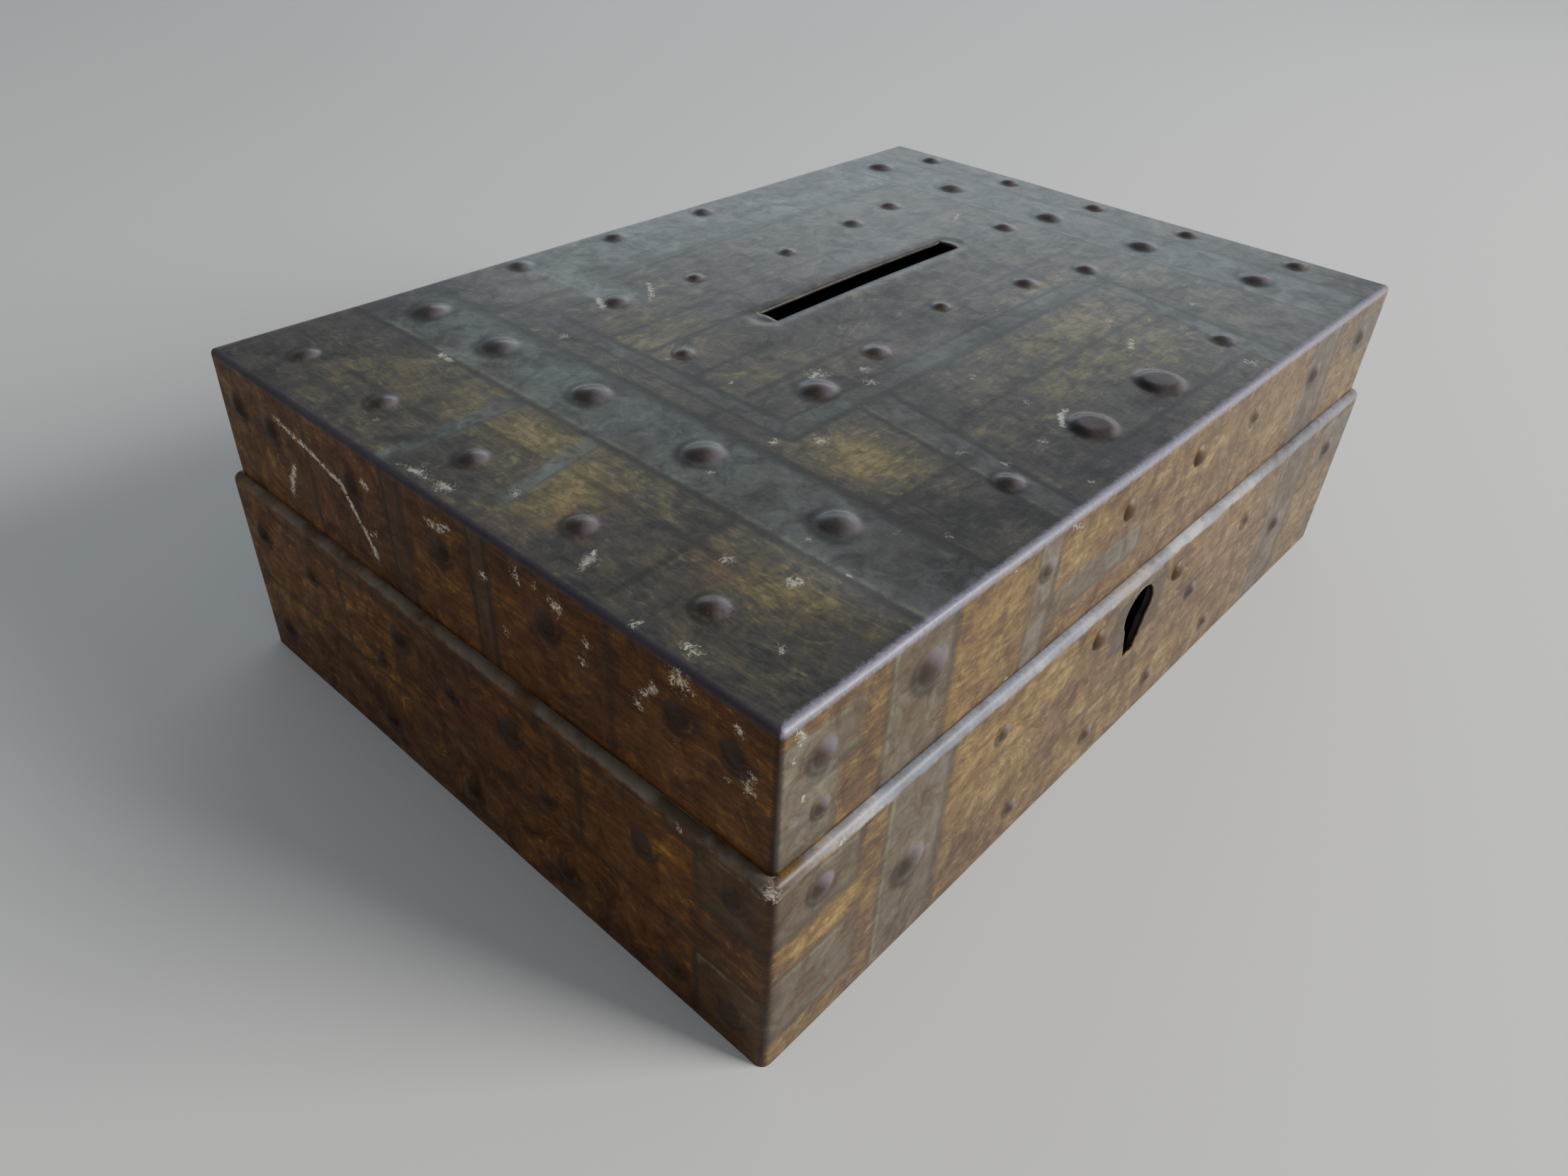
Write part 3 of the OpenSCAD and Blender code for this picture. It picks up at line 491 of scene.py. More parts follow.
def build_lid():
    xs = lid_grid(LID_HW, [SLOT_X - SLOT_L / 2, SLOT_X + SLOT_L / 2])
    ys = lid_grid(LID_HD, [SLOT_Y - SLOT_W / 2, SLOT_Y + SLOT_W / 2])
    rim_top = TOP_Z - LID_R
    band = [rim_top + LID_R * math.tan(EDGE_TURN * i) for i in (3, 2, 1)]
    zs = band + [rim_top - down for down in even_steps(0, rim_top - LID_Z, 0.55)] + [LID_Z]
    points, faces, bare = [], [], []

    def skin(xs, ys, zs, depth, is_bare):
        """One side of the sheet; returns the loop round its slot and the loop at its rim."""
        first = sum(len(p) for p in points)
        nx, ny = len(xs), len(ys)
        gx, gy = np.meshgrid(xs, ys)
        flat = np.stack([gx.ravel(), gy.ravel(), np.full(gx.size, TOP_Z)], axis=1)
        loop = (list(range(nx - 1)) + [j * nx + nx - 1 for j in range(ny - 1)]
                + [(ny - 1) * nx + i for i in range(nx - 1, 0, -1)]
                + [j * nx for j in range(ny - 1, 0, -1)])
        rings = [flat[loop] * [1, 1, 0] + [0, 0, z] for z in zs]
        points.append(lid_surface(np.concatenate([flat, *rings]), depth))
        i0, i1 = (int(np.argmin(abs(xs - SLOT_X - side * SLOT_L / 2))) for side in (-1, 1))
        j0, j1 = (int(np.argmin(abs(ys - SLOT_Y - side * SLOT_W / 2))) for side in (-1, 1))
        for j in range(ny - 1):
            for i in range(nx - 1):
                if not (i0 <= i < i1 and j0 <= j < j1):
                    a = first + j * nx + i
                    faces.append((a, a + 1, a + nx + 1, a + nx))
        upper = [first + i for i in loop]
        for number in range(len(zs)):
            lower = [first + nx * ny + number * len(loop) + i for i in range(len(loop))]
            for i in range(len(loop)):
                k = (i + 1) % len(loop)
                faces.append((upper[i], lower[i], lower[k], upper[k]))
            upper = lower
        bare.extend([is_bare] * (len(faces) - len(bare)))
        around = ([(i, j0) for i in range(i0, i1)] + [(i1, j) for j in range(j0, j1)]
                  + [(i, j1) for i in range(i1, i0, -1)] + [(i0, j) for j in range(j1, j0, -1)])
        return [first + j * nx + i for i, j in around], upper

    outer_slot, outer_rim = skin(xs, ys, zs, 0, 0)
    inner_slot, inner_rim = skin(xs[::2], ys[::2], zs[1::2], SHEET, 1)
    slot_edge = join_loops(outer_slot, inner_slot)
    rim_edge = join_loops(outer_rim, inner_rim)
    faces += slot_edge + rim_edge
    bare += [0] * len(slot_edge) + [1] * len(rim_edge)
    lid = make_object("lid_shell", np.concatenate(points), faces, bare, "lid")
    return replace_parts(lid, "lid_tray")


def base_columns():
    """The base's plan, anticlockwise: for each column the centre of its rounding and its direction."""
    cx, cy = BASE_HW - CORNER_R, BASE_HD - CORNER_R
    corners = [(-cx, -cy), (cx, -cy), (cx, cy), (-cx, cy)]
    columns = []
    for number, (start, end) in enumerate(zip(corners, corners[1:] + corners[:1])):
        turn = math.radians(90 * number - 90)
        length = math.hypot(end[0] - start[0], end[1] - start[1])
        for along in even_steps(0, length, GRID):
            share = along / length
            place = [s + (e - s) * share for s, e in zip(start, end)]
            columns.append((*place, math.cos(turn), math.sin(turn)))
        for i in range(6):
            angle = turn + math.radians(15 * i)
            columns.append((*end, math.cos(angle), math.sin(angle)))
    return np.array(columns)


def base_row(columns, inset, z):
    """One row of points round the base, the given distance inside its outer wall."""
    radius = max(CORNER_R - inset, 0.25)
    past = inset - (CORNER_R - radius)
    shrink = np.array([1 - past / (BASE_HW - CORNER_R), 1 - past / (BASE_HD - CORNER_R)])
    plan = columns[:, :2] * shrink + radius * columns[:, 2:]
    return np.concatenate([plan, np.full((len(plan), 1), z)], axis=1)


def base_profile(depth):
    """(inset, height) from the floor up the wall, over the shoulder and up the neck."""
    wall_top = LEDGE_Z - SHOULDER_R
    round_r = SHOULDER_R - depth
    fillet = 0.3
    turn = NECK_INSET + depth
    rows = [(depth, z) for z in even_steps(0, wall_top, GRID)]
    rows += [(SHOULDER_R - round_r * math.cos(a), wall_top + round_r * math.sin(a))
             for a in map(math.radians, range(0, 91, 15))]
    rows += [(turn - fillet * math.cos(a), LEDGE_Z - depth + fillet * (1 - math.sin(a)))
             for a in map(math.radians, (90, 45, 0))]
    rows += [(turn, z) for z in even_steps(LEDGE_Z - depth + 2 * fillet, NECK_TOP, 1.2)]
    return rows + [(turn, NECK_TOP)]


def build_base():
    columns = base_columns()
    points, faces, bare = [], [], []

    def skin(columns, profile, is_inside):
        """One side of the sheet; returns its lowest and highest loop."""
        first = sum(len(p) for p in points)
        count = len(columns)
        for inset, z in profile:
            row = base_row(columns, inset, z)
            points.append(press(row) if inset < SHOULDER_R else row)
        loops = [[first + r * count + i for i in range(count)] for r in range(len(profile))]
        for lower, upper, (inset, _z) in zip(loops, loops[1:], profile[1:]):
            for i in range(count):
                k = (i + 1) % count
                faces.append((lower[i], lower[k], upper[k], upper[i]))
                bare.append(1 if is_inside or inset > SHOULDER_R + 0.2 else 0)
        return loops[0], loops[-1]

    outer_low, outer_high = skin(columns, base_profile(0), False)
    inner_profile = base_profile(SHEET)[::2] + [(NECK_INSET + SHEET, NECK_TOP)]
    inner_low, inner_high = skin(columns[::2], inner_profile, True)
    edges = join_loops(outer_low, inner_low) + join_loops(outer_high, inner_high)
    faces += edges
    bare += [1] * len(edges)
    base = make_object("base_shell", np.concatenate(points), faces, bare, "base")
    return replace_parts(base, "base_band")


def cut_keyhole(base):
    """The keyhole: a round head that narrows to a flat lower end, cut through the front wall."""
    shape = []
    for i in range(33):
        angle = math.radians(-40 + 260 * i / 32)
        shape.append((KEY_X + KEY_R * math.cos(angle), KEY_Z + KEY_R * math.sin(angle)))
    foot = KEY_Z - KEY_DROP
    shape += [(KEY_X + x, foot + z) for x, z in ((-1.2, 0.4), (-0.8, 0), (0.8, 0), (1.2, 0.4))]
    n = len(shape)
    points = [(x, y, z) for y in (-BASE_HD - 2, -BASE_HD + 2) for x, z in shape]
    faces = [tuple(range(n)), tuple(range(2 * n - 1, n - 1, -1))]
    faces += [(i, n + i, n + (i + 1) % n, (i + 1) % n) for i in range(n)]
    cutter = make_object("keyhole_cutter", points, faces, [0] * len(faces), "base")
    cut = base.modifiers.new("keyhole", "BOOLEAN")
    cut.operation = "DIFFERENCE"
    cut.solver = "EXACT"
    cut.object = cutter
    shown = base.evaluated_get(bpy.context.evaluated_depsgraph_get())
    base.data = bpy.data.meshes.new_from_object(shown)
    base.modifiers.clear()
    base.data.name = "base_shell"
    bpy.data.objects.remove(cutter)


# ---- the print's layout, on the vertices


def grain_of(layout, u, v):
    """Distance along and across the grain, and a number that differs from plank to plank."""
    along, across = u.copy(), v.copy()
    seed = np.zeros_like(u)
    for number, (u0, u1, v0, v1, angle) in enumerate(layout["planks"]):
        on = (u > u0) & (u < u1) & (v > v0) & (v < v1)
        if angle == 90:
            along[on], across[on] = v[on], u[on]
        seed[on] = number * 7.3
    across += 0.35 * np.sin(along * 0.13 + seed) + 0.2 * np.sin(along * 0.37 + 2.0)
    for ru, rv, radius, squash in layout["rings"]:
        ring = np.hypot(u - ru, (v - rv) / squash)
        near = np.clip(1.6 - ring / radius, 0, 1)
        across += near * (ring * 0.8 - across)
    return along, across, seed


def face_marks(number, u, v):
    """Where points of one face lie in its print: distances to bars, seams, studs and worn places."""
    face = FACE_NAMES[number]
    layout = FACES[face]
    lit_u, lit_v = layout["lit"]
    marks = {name: np.full(len(u), FAR) for name in ("bar", "seam", "stud", "disc", "fleck", "scratch")}
    for name in ("tone", "bar_side", "stud_side"):
        marks[name] = np.zeros(len(u))

    def keep_nearer(name, far, **with_it):
        """Keeps the shorter distance at each point, and what goes with it."""
        nearer = far < marks[name]
        for key, values in ((name, far), *with_it.items()):
            marks[key] = np.where(nearer, values, marks[key])

    for bar in layout["bars"]:
        far, side = bar_distance(u, v, bar)
        keep_nearer("bar", far, bar_side=side, tone=bar[-1])
    for u0, v0, u1, v1 in layout["seams"]:
        keep_nearer("seam", line_distance(u, v, [(u0, v0), (u1, v1)]))
    for kind in ("studs", "discs"):
        for su, sv, radius in layout[kind]:
            out = np.hypot(u - su, v - sv)
            # How far each point lies towards the painted highlight, for the painted shade and highlight of
            # studs and discs.
            side = ((u - su) * lit_u + (v - sv) * lit_v) / radius
            if kind == "studs":
                keep_nearer("stud", out / radius, stud_side=side)
            else:
                keep_nearer("disc", out - radius)
                marks["stud_side"] = np.where(out - radius < 1, side, marks["stud_side"])
    for cu, cv, size in FLECKS[face]:
        keep_nearer("fleck", np.hypot(u - cu, v - cv) / size)
    for line, width in SCRATCHES[face]:
        keep_nearer("scratch", line_distance(u, v, line) - width / 2)
    golden = bump_sum(u, v, layout["patches"])
    marks["gold"] = layout["gold"] + golden
    marks["tone"] += 0.6 * golden
    marks["rub"] = bump_sum(u, v, layout["rubs_and_sheen"])
    marks["red"] = bump_sum(u, v, [(ru, rv, radius, radius, 1.0) for ru, rv, radius in layout["reds"]])
    for name in ("warm", "drab"):
        marks[name] = np.full(len(u), layout[name])
    marks["along"], marks["across"], seed = grain_of(layout, u, v)
    marks["seed"] = seed + 31.0 * number
    return marks


def edge_marks(points):
    """Distances to the lid's upper edge and to the upright corners, and how well the edge is lit."""
    x, y, z = points.T
    on_lid = z > LID_Z - 0.05
    from_side = abs(np.where(on_lid, LID_HW, BASE_HW) - abs(x))
    from_front = abs(np.where(on_lid, LID_HD, BASE_HD) - abs(y))
    front_light = np.where(y < 0, 1.0, 0.85)
    side_light = np.where(x > 0, 0.5, 0.1)
    return {
        "edge": np.maximum(abs(TOP_Z - z), np.minimum(from_side, from_front)),
        "edge_light": np.where(from_front < from_side, front_light, side_light),
        "corner": np.maximum(from_side, from_front),
    }


def dress(made):
    """Stores each vertex's marks on the mesh, where the print's material reads them."""
    mesh = made.data
    places = np.empty(len(mesh.vertices) * 3)
    mesh.vertices.foreach_get("co", places)
    points = places.reshape(-1, 3) / MM
    which, u, v = face_uv(points)
    marks = edge_marks(points)
    for number in range(len(FACE_NAMES)):
        on = which == number
        for name, values in face_marks(number, u[on], v[on]).items():
            marks.setdefault(name, np.zeros(len(points)))[on] = values
    for name, values in marks.items():
        store = mesh.attributes.new(name, "FLOAT", "POINT")
        store.data.foreach_set("value", values.astype(np.float32))


# ---- materials


def colour(red, green, blue):
    """A colour picked as 0 to 255 screen values, in the linear values that shaders take."""
    parts = []
    for value in (red, green, blue):
        share = value / 255
        parts.append(share / 12.92 if share <= 0.04045 else ((share + 0.055) / 1.055) ** 2.4)
    return (*parts, 1)


class Shader:
    """Adds nodes to one material; each call gives back the new node's output."""

    def __init__(self, name):
        self.material = bpy.data.materials.new(name)
        self.material.use_nodes = True
        self.tree = self.material.node_tree
        self.surface = self.tree.nodes["Principled BSDF"]

    def put(self, socket, value):
        """Links an output to a socket, or sets a value; three numbers are a 0 to 255 colour."""
        if isinstance(value, bpy.types.NodeSocket):
            self.tree.links.new(value, socket)
        elif isinstance(value, tuple) and len(value) == 3:
            socket.default_value = colour(*value)
        else:
            socket.default_value = value

    def node(self, kind, inputs, output=0, **settings):
        """Adds a node with these settings and inputs; gives back one of its outputs."""
        node = self.tree.nodes.new(kind)
        for name, value in settings.items():
            setattr(node, name, value)
        for socket, value in inputs.items():
            self.put(node.inputs[socket], value)
        return node.outputs[output]

    def math(self, operation, first, second=0, third=0, clamp=False):
        values = {0: first, 1: second, 2: third}
        return self.node("ShaderNodeMath", values, operation=operation, use_clamp=clamp)

    def plus(self, first, second, clamp=False):
        return self.math("ADD", first, second, clamp=clamp)

    def minus(self, first, second):
        return self.math("SUBTRACT", first, second)

    def times(self, first, second):
        return self.math("MULTIPLY", first, second)

    def sway(self, noise, reach):
        """A noise, which lies about 0.5, spread over the given reach about 0."""
        return self.math("MULTIPLY_ADD", noise, reach, -reach / 2)

    def mix(self, share, first, second, blend="MIX"):
        inputs = {"Factor": share, 6: first, 7: second}
        return self.node("ShaderNodeMix", inputs, 2, data_type="RGBA", blend_type=blend)

    def attribute(self, name):
        return self.node("ShaderNodeAttribute", {}, "Fac", attribute_name=name)

    def millimetres(self):
        """The piece's own coordinates, in mm."""
        inputs = {0: self.node("ShaderNodeTexCoord", {}, "Object"), "Scale": 1 / MM}
        return self.node("ShaderNodeVectorMath", inputs, operation="SCALE")

    def vector(self, x, y, z):
        return self.node("ShaderNodeCombineXYZ", {0: x, 1: y, 2: z})

    def axis(self, vector, number):
        """A vector's x (0), y (1) or z (2)."""
        return self.node("ShaderNodeSeparateXYZ", {0: vector}, number)

    def noise(self, place, scale, detail=3, rough=0.55, twist=0):
        inputs = {"Vector": place, "Scale": scale, "Detail": detail, "Roughness": rough,
                  "Distortion": twist}
        return self.node("ShaderNodeTexNoise", inputs, "Fac")

    def ramp(self, value, stops):
        """Colours along a scale: stops are (position, red, green, blue)."""
        output = self.node("ShaderNodeValToRGB", {0: value}, "Color")
        elements = output.node.color_ramp.elements
        while len(elements) < len(stops):
            elements.new(0.5)
        for element, (position, *shade) in zip(elements, stops):
            element.position = position
            element.color = colour(*shade)
        return output

    def band(self, value, start, end, low=0, high=1):
        """low before start, high past end, with a smooth step between; start may be above end."""
        inputs = {0: value, 1: start, 2: end, 3: low, 4: high}
        return self.node("ShaderNodeMapRange", inputs, interpolation_type="SMOOTHSTEP")

    def bump(self, height, distance, strength, below=None):
        inputs = {"Height": height, "Distance": distance * MM, "Strength": strength}
        if below:
            inputs["Normal"] = below
        return self.node("ShaderNodeBump", inputs)

    def finish(self, **values):
        """Sets the surface's sockets by name, with _ for a space, and returns the material."""
        for name, value in values.items():
            self.put(self.surface.inputs[name.replace("_", " ")], value)
        return self.material


class PrintShader(Shader):
    """The printed tin's nodes, with the noises, distances and shares that several layers use."""

    def __init__(self, name):
        super().__init__(name)
        self.place = self.millimetres()
        self.height = self.axis(self.place, 2)
        self.fine = self.noise(self.place, 2.2, 4, 0.6)
        self.mottle = self.noise(self.place, 0.32, 5, 0.65, 0.6)
        self.ragged = self.noise(self.place, 1.5, 5, 0.75, 1.2)
        self.wobble = self.sway(self.noise(self.place, 0.9, 4, 0.65), 1.1)
        # warm is partly the sides' print tone and partly painted warm bounce light; shaded picks out the
        # left face, which is in the shade, for its painted shade.
        self.warm = self.attribute("warm")
        self.shaded = self.band(self.warm, 0.85, 1)
        self.stud_side = self.attribute("stud_side")
        self.bar = self.plus(self.attribute("bar"), self.wobble)
        iron = self.times(self.band(self.bar, 0.6, -0.6), self.band(self.mottle, 0.32, 0.56, 0.4, 0.9))
        self.iron = self.times(iron, self.band(self.warm, 0.5, 0.9, 1, 0.8))
        fleck = self.plus(self.attribute("fleck"), self.math("MULTIPLY_ADD", self.ragged, -4, 2.3))
        scratch = self.plus(self.attribute("scratch"), self.math("MULTIPLY_ADD", self.ragged, 2.6, -1.2))
        self.worn = self.math("MAXIMUM", self.band(fleck, 0.9, 0.25), self.band(scratch, 0.25, -0.2))
        edge = self.plus(self.attribute("edge"), self.math("MULTIPLY_ADD", self.ragged, 1, -0.45))
        self.edge = self.band(edge, 1.1, 0.4, 0, 0.75)

    def along_grain(self, stretch, scale, detail, rough, twist):
        """Noise drawn out along the printed grain."""
        along, across, seed = (self.attribute(name) for name in ("along", "across", "seed"))
        place = self.vector(self.times(along, stretch), across, seed)
        return self.noise(place, scale, detail, rough, twist)

    def by_face(self, top, sides):
        """One colour for the top and another for the warm sides."""
        return self.mix(self.warm, top, sides)


def wood_shade(s):
    """Dark brown to gold, in blotches and in streaks along the grain."""
    gold = s.plus(s.attribute("gold"), s.sway(s.along_grain(0.25, 1.1, 5, 0.68, 0.6), 0.9))
    gold = s.plus(gold, s.sway(s.mottle, 1.2))
    gold = s.plus(gold, s.sway(s.along_grain(0.14, 3.2, 3, 0.6, 0.3), 0.45), clamp=True)
    olive = s.ramp(gold, [(0, 30, 28, 28), (0.3, 48, 47, 45), (0.55, 67, 64, 56), (0.78, 91, 84, 58),
                          (1, 122, 110, 73)])
    tan = s.ramp(gold, [(0, 34, 18, 6), (0.3, 56, 34, 12), (0.55, 80, 54, 20), (0.78, 107, 79, 30),
                        (1, 144, 111, 46)])
    # The sides' tan is partly the print's tone and partly painted warm bounce light.
    shade = s.mix(s.warm, olive, tan)
    reddish = s.times(s.attribute("red"), s.band(s.mottle, 0.35, 0.6))
    shade = s.mix(s.times(reddish, 0.4), shade, (88, 54, 48))
    strokes = s.band(s.along_grain(0.5, 0.8, 4, 0.6, 1.5), 0.56, 0.66)
    strokes = s.times(strokes, s.band(gold, 0.35, 0.7, 0.05, 0.4))
    shade = s.mix(strokes, shade, s.by_face((122, 114, 84), (150, 120, 66)))
    dull = s.band(s.noise(s.place, 0.4, 5, 0.65), 0.5, 0.66, 0, 0.5)
    return s.mix(dull, shade, s.by_face((60, 55, 54), (66, 44, 18)))


def iron_shade(s):
    """Dark to pale green-grey, or brown-grey on a drab face; on the left face, which is in the shade,
    painted shade turns it dark brown.
    """
    tone = s.plus(s.attribute("tone"), s.sway(s.mottle, 1.3))
    green = s.ramp(s.plus(tone, s.sway(s.fine, 0.5)), [
        (0, 35, 34, 33), (0.3, 48, 50, 48), (0.6, 63, 68, 67), (0.85, 77, 85, 83), (1, 94, 103, 100)])
    brown = s.ramp(tone, [
        (0, 40, 33, 26), (0.3, 56, 49, 40), (0.6, 76, 70, 59), (0.85, 94, 88, 76), (1, 112, 106, 94)])
    shade = s.mix(s.attribute("drab"), green, brown)
    cloud = s.band(s.noise(s.place, 0.09, 3, 0.5), 0.5, 0.68, 0, 0.35)
    shade = s.mix(cloud, shade, (62, 56, 46))
    # Painted shade: on the left face, which is in the shade, the iron is painted dark brown.
    return s.mix(s.times(s.shaded, 0.6), shade, (58, 40, 20))


def add_clouds(s, shade):
    """Soft clouds, purplish on the top and brown on the sides."""
    clouds = s.band(s.noise(s.place, 0.16, 4, 0.6), 0.48, 0.68, 0, 0.5)
    return s.mix(clouds, shade, s.by_face((60, 53, 56), (62, 41, 20)))


def add_seams(s, shade):
    """Dark seams, and the lit and dim sides of the straps."""
    seam = s.plus(s.attribute("seam"), s.times(s.wobble, 0.35))
    dark = s.times(s.band(seam, 0.75, 0.1), s.band(s.mottle, 0.3, 0.6, 0.3, 0.65))
    dark = s.times(dark, s.band(s.attribute("drab"), 0.2, 0.8, 1, 0.65))
    shade = s.mix(dark, shade, (28, 29, 26))
    rim = s.math("ABSOLUTE", s.plus(s.bar, 0.45))
    side = s.attribute("bar_side")
    unfaded = s.band(s.mottle, 0.4, 0.58, 0.15, 1)
    lit = s.times(s.band(rim, 0.45, 0.05), s.band(side, -0.5, -0.95, 0, 0.5))
    shade = s.mix(s.times(lit, unfaded), shade, (98, 102, 82))
    dim = s.times(s.band(rim, 0.8, 0.1), s.band(side, 0.5, 0.95, 0, 0.6))
    return s.mix(s.times(dim, unfaded), shade, (30, 31, 28))


def add_stud_shading(s, shade):
    """A purplish crown on each stud, with painted shade on its unlit side and a painted highlight on
    its lit side, painted near black on the left face, which is in the shade; round it, a ring of
    painted shadow on its unlit side.
    """
    stud = s.attribute("stud")
    # Painted shade on the crown's unlit side, a purplish painted highlight on its lit side.
    crown = s.ramp(s.math("MULTIPLY_ADD", s.stud_side, 0.5, 0.5), [
        (0, 20, 12, 9), (0.45, 42, 29, 22), (0.66, 78, 69, 75), (1, 104, 98, 106)])
    # Painted shade: on the left face, which is in the shade, the crowns are painted near black.
    crown = s.mix(s.times(s.shaded, 0.75), crown, (10, 6, 8))
    shade = s.mix(s.band(stud, 1, 0.7, 0, 0.8), shade, crown)
    # A ring of painted shadow round each stud, on its unlit side.
    ring = s.band(s.math("ABSOLUTE", s.minus(stud, 1.1)), 0.4, 0)
    ring = s.times(ring, s.band(s.stud_side, 0.6, -0.9, 0, 0.75))
    return s.mix(ring, shade, (24, 20, 16))


def add_disc_shading(s, shade):
    """The flat studs' dark plates, with painted shade on the unlit side of each rim and a painted
    highlight on its lit side.
    """
    disc = s.attribute("disc")
    plate = s.mix(s.mottle, (42, 33, 33), (66, 54, 56))
    shade = s.mix(s.band(disc, 0.2, -0.3, 0, 0.85), shade, plate)
    rim = s.band(s.math("ABSOLUTE", s.plus(disc, 0.3)), 0.9, 0.2)
    # Painted shade on the rim's unlit side.
    dark = s.times(rim, s.band(s.stud_side, -0.1, -0.7, 0, 0.95))
    shade = s.mix(dark, shade, (18, 13, 12))
    # A painted highlight on the rim's lit side.
    pale = s.times(rim, s.band(s.stud_side, 0.3, 0.9, 0, 0.5))
    return s.mix(pale, shade, (112, 104, 104))


def add_grime(s, shade):
    """Grime, and small dark and pale specks, over everything printed."""
    grime = s.band(s.noise(s.place, 0.55, 6, 0.7), 0.5, 0.72, 0, 0.5)
    shade = s.mix(grime, shade, s.by_face((30, 28, 27), (32, 23, 12)))
    speck = s.noise(s.place, 5, 2, 0.6)
    shade = s.mix(s.band(speck, 0.62, 0.72, 0, 0.35), shade, (22, 19, 15))
    return s.mix(s.band(speck, 0.36, 0.28, 0, 0.25), shade, s.by_face((110, 104, 88), (124, 102, 56)))


def add_painted_sheen(s, shade):
    """Painted sheen on the top: paler bluish-grey patches over the print."""
    # Painted sheen, on the top only.
    painted_sheen = s.times(s.attribute("rub"), s.band(s.height, TOP_Z - 1.4, TOP_Z - 0.6))
    painted_sheen = s.times(painted_sheen, s.band(s.mottle, 0.3, 0.6, 0.7, 1.3))
    return s.mix(painted_sheen, shade, (122, 127, 132))


def add_amber_bounce(s, shade):
    """A deeper amber on the left face, which is in the shade: partly the print's tone and partly
    painted warm light bounced into the shade.
    """
    # Painted warm bounce light: the left face's colours multiplied towards amber.
    amber = s.mix(s.shaded, (1, 1, 1, 1), (1.6, 1.3, 0.8, 1))
    return s.mix(1, shade, amber, "MULTIPLY")


def add_corner_shade(s, shade):
    """Painted shade along the upright corners, with a ragged edge."""
    corner = s.plus(s.attribute("corner"), s.sway(s.ragged, 0.8))
    # Painted shade, darkest at the corner.
    return s.mix(s.band(corner, 0.8, 0.3, 0, 0.65), shade, (36, 24, 22))


def add_bare_edge_and_highlight(s, shade):
    """Bare metal along the lid's upper edge, paler where it is lit."""
    # A painted highlight where the edge is lit, as at the front, and painted shade where it is not, as on
    # the left.
    metal = s.mix(s.attribute("edge_light"), (56, 50, 60), (134, 132, 152))
    metal = s.mix(s.band(s.fine, 0.3, 0.7, 0, 0.35), metal, (60, 54, 62))
    return s.mix(s.edge, shade, metal)


def add_bare_shoulder_and_highlight(s, shade):
    """Bare metal on the base's rounded shoulder, in patches and with a ragged lower edge.
    Its pale bluish grey is partly worn metal and partly a painted highlight; on the left face,
    which is in the shade, a darker brown-grey copy is painted shade.
    """
    below = s.minus(LEDGE_Z, s.height)
    depth = s.plus(below, s.sway(s.noise(s.place, 0.3, 5, 0.7), 1.8))
    depth = s.plus(depth, s.times(s.shaded, 0.3))
    bare = s.plus(s.band(s.mottle, 0.3, 0.6, 0.8, 0.5), s.attribute("rub"), clamp=True)
    bare = s.times(s.band(depth, 1.5, 0.8), s.times(bare, s.band(below, -0.03, -0.01)))
    patchy = s.noise(s.place, 0.14, 4, 0.6)
    # Worn metal with a painted highlight: pale bluish grey.
    metal = s.ramp(s.math("MULTIPLY_ADD", s.minus(s.fine, 0.5), 0.3, patchy), [
        (0.32, 100, 92, 96), (0.44, 112, 118, 132), (0.54, 134, 134, 142), (0.62, 164, 161, 160)])
    metal = s.mix(s.times(s.iron, 0.5), metal, (96, 104, 110))
    # Painted shade: the darker brown-grey that stands in for the metal on the left face, which is in the
    # shade.
    dim = s.mix(s.band(patchy, 0.4, 0.56), (82, 70, 58), (118, 112, 102))
    return s.mix(bare, shade, s.mix(s.shaded, metal, dim))


def add_flecks(s, shade):
    """Flecks and scratches down to bright metal."""
    bright = s.mix(s.mottle, (148, 148, 136), (190, 188, 174))
    bright = s.mix(s.band(s.warm, 0.5, 1, 0, 0.8), bright, (240, 226, 200))
    return s.mix(s.times(s.worn, s.band(s.mottle, 0.3, 0.6, 0.6, 0.9)), shade, bright)


def printed_tin():
    s = PrintShader("printed_tin")
    shade = s.mix(s.iron, wood_shade(s), iron_shade(s))
    for add in (add_clouds, add_seams, add_stud_shading, add_disc_shading, add_grime, add_painted_sheen, add_amber_bounce,
                add_corner_shade, add_bare_edge_and_highlight, add_bare_shoulder_and_highlight, add_flecks):
        shade = add(s, shade)
    rough = s.plus(s.band(s.mottle, 0.3, 0.7, 0.52, 0.4), s.times(s.worn, 0.1))
    grain = s.bump(s.noise(s.place, 1.3, 3, 0.5), 0.05, 0.5)
    skin = s.bump(s.minus(s.fine, s.times(s.worn, 1.2)), 0.03, 0.8, grain)
    return s.finish(Base_Color=shade, Metallic=s.times(s.edge, 0.25), Roughness=rough, Normal=skin,
                    Coat_Weight=s.band(s.warm, 0.5, 1, 0.3, 0.06), Coat_Roughness=0.28,
                    Specular_IOR_Level=0.14)


def bare_metal(name, light, dark, rough_low, rough_high, rust=0.15, metallic=0.95):
    """Dull metal, or with a lower metallic value tin plate, with stains and rust in places."""
    s = Shader(name)
    place = s.millimetres()
    stain = s.noise(place, 0.25, 5, 0.6, 0.4)
    shade = s.mix(s.band(stain, 0.35, 0.65), light, dark)
    rusty = s.band(s.noise(place, 0.7, 6, 0.7), 0.62, 0.74, 0, rust * 3)
    shade = s.mix(rusty, shade, (96, 62, 38))
    rough = s.plus(s.band(stain, 0.3, 0.7, rough_low, rough_high), s.times(rusty, 0.3))
    brushed = s.bump(s.noise(place, 2.5, 3, 0.6), 0.02, 0.5)
    return s.finish(Base_Color=shade, Metallic=s.times(s.minus(1, rusty), metallic), Roughness=rough,
                    Normal=brushed)


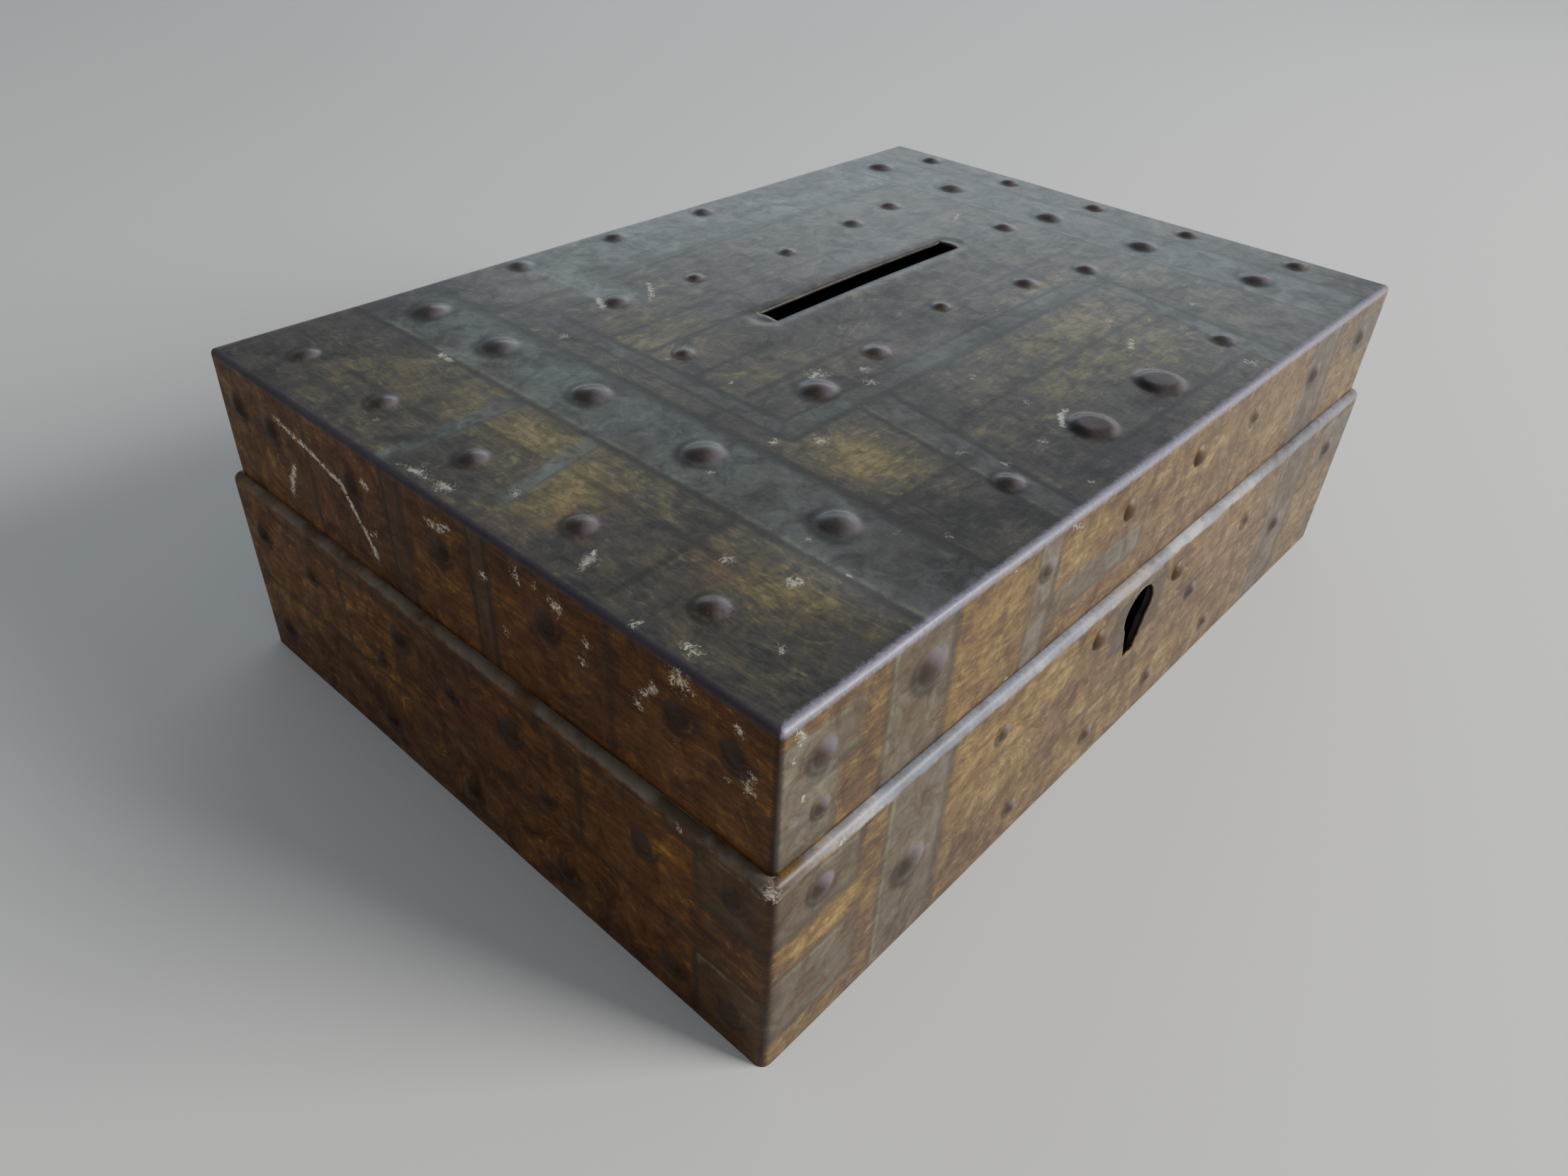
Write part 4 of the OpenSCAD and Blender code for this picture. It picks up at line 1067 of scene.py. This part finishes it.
def painted_rivet():
    """A rivet whose outer head is painted like the printed studs round it, with bare steel behind.
    The paint carries painted shade towards the lower left and a painted highlight towards the upper right.
    """
    s = Shader("painted_rivet")
    place = s.millimetres()
    facing = s.node("ShaderNodeTexCoord", {}, "Normal")
    facing_x, facing_y, facing_z = (s.axis(facing, number) for number in range(3))
    # Painted shade and highlight: darker where the head faces down and left, paler where it faces up and
    # right.
    side = s.times(s.plus(facing_x, facing_z), 0.6)
    side = s.plus(side, s.sway(s.noise(place, 1.2, 4, 0.65), 0.8))
    paint = s.ramp(s.math("MULTIPLY_ADD", side, 0.5, 0.5), [
        (0, 48, 35, 22), (0.45, 68, 53, 34), (0.7, 80, 66, 46), (1, 88, 76, 62)])
    scuffed = s.band(s.noise(place, 1.8, 5, 0.7), 0.6, 0.72, 0, 0.6)
    paint = s.mix(scuffed, paint, (120, 116, 110))
    painted = s.band(facing_y, 0.1, -0.1)
    shade = s.mix(painted, (138, 136, 132), paint)
    grain = s.bump(s.noise(place, 2.5, 3, 0.6), 0.03, 0.6)
    return s.finish(Base_Color=shade, Metallic=s.minus(0.9, s.times(painted, 0.8)), Roughness=0.45,
                    Normal=grain, Specular_IOR_Level=0.2)


PRINT = printed_tin()
TIN = bare_metal("bare_tin", (190, 186, 176), (166, 161, 150), 0.34, 0.48, 0.1, 0.8)
STEEL = bare_metal("dull_steel", (132, 131, 129), (112, 110, 107), 0.35, 0.5, 0.25)
WIRE = bare_metal("steel_wire", (160, 160, 160), (120, 120, 120), 0.22, 0.35, 0.08)
RIVET = bare_metal("rivet_steel", (150, 148, 144), (112, 110, 106), 0.3, 0.45, 0.2)
PAINTED = painted_rivet()
BRASS = bare_metal("bolt_brass", (196, 160, 92), (150, 118, 66), 0.25, 0.4, 0.05)

lid_shell = build_lid()
base_shell = build_base()
cut_keyhole(base_shell)
for shell in (lid_shell, base_shell):
    dress(shell)

HARDWARE = (
    (TIN, ("bottom_panel",)),
    (STEEL, ("hinge_leaf_base_left", "hinge_leaf_base_right", "hinge_leaf_lid_left",
             "hinge_leaf_lid_right", "lock_plate", "lock_case", "strike_plate")),
    (WIRE, ("hinge_pin_left", "hinge_pin_right", "lock_spring")),
    (RIVET, ("hinge_rivets_base", "hinge_rivets_lid", "lock_studs", "case_rivets")),
    (PAINTED, ("lock_rivets", "strike_rivets")),
    (BRASS, ("lock_bolt",)),
)
for material, nodes in HARDWARE:
    for node in nodes:
        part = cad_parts[node]
        part.data.materials.clear()
        part.data.materials.append(material)
        bevel = part.modifiers.new("worn_edges", "BEVEL")
        bevel.width = 0.07 * MM
        bevel.segments = 2
        bevel.limit_method = "ANGLE"
        bevel.angle_limit = math.radians(40)

# ---- floor, light and camera, in metres


def area_light(name, spot, target, size, power, shade):
    lamp = bpy.data.lights.new(name, "AREA")
    lamp.shape = "RECTANGLE"
    lamp.size, lamp.size_y = size
    lamp.energy = power
    lamp.color = shade
    holder = add_object(name, lamp)
    holder.location = spot
    holder.rotation_euler = (Vector(target) - Vector(spot)).to_track_quat("-Z", "Y").to_euler()


FLOOR_REACH = 6.0       # far past the picture on every side
corners = [(x * FLOOR_REACH, y * FLOOR_REACH, 0) for x, y in ((-1, -1), (1, -1), (1, 1), (-1, 1))]
mesh = bpy.data.meshes.new("floor")
mesh.from_pydata(corners, [], [(0, 1, 2, 3)])
mesh.materials.append(Shader("floor_pale").finish(Base_Color=(206, 206, 204), Roughness=0.7))
floor = add_object("floor", mesh)
area_light("key_light", (0.42, -0.75, 0.42), (0, 0, 0.02), (0.5, 0.4), 16.0, (1.0, 0.97, 0.93))
area_light("back_light", (0.8, 0.58, 0.28), (0.0, 0, 0.04), (0.95, 0.2), 1.55, (0.76, 0.89, 1.0))

world = bpy.data.worlds.new("studio")
world.use_nodes = True
world.node_tree.nodes["Background"].inputs["Color"].default_value = (0.82, 0.88, 0.95, 1)
world.node_tree.nodes["Background"].inputs["Strength"].default_value = 0.4
bpy.context.scene.world = world

camera_data = bpy.data.cameras.new("camera")
camera_data.lens = 26.0
camera_data.sensor_width = 36.0
camera_data.clip_start = 0.01
camera = add_object("camera", camera_data)
place = Vector((-0.1095, -0.0823, 0.1000))
forward = Vector((0.610, 0.5203, -0.5976)).normalized()
right = forward.cross(Vector((0.4181, 0.4294, 0.8005))).normalized()
up = right.cross(forward)
camera.matrix_world = Matrix((
    (right.x, up.x, -forward.x, place.x),
    (right.y, up.y, -forward.y, place.y),
    (right.z, up.z, -forward.z, place.z),
    (0, 0, 0, 1),
))
bpy.context.scene.camera = camera
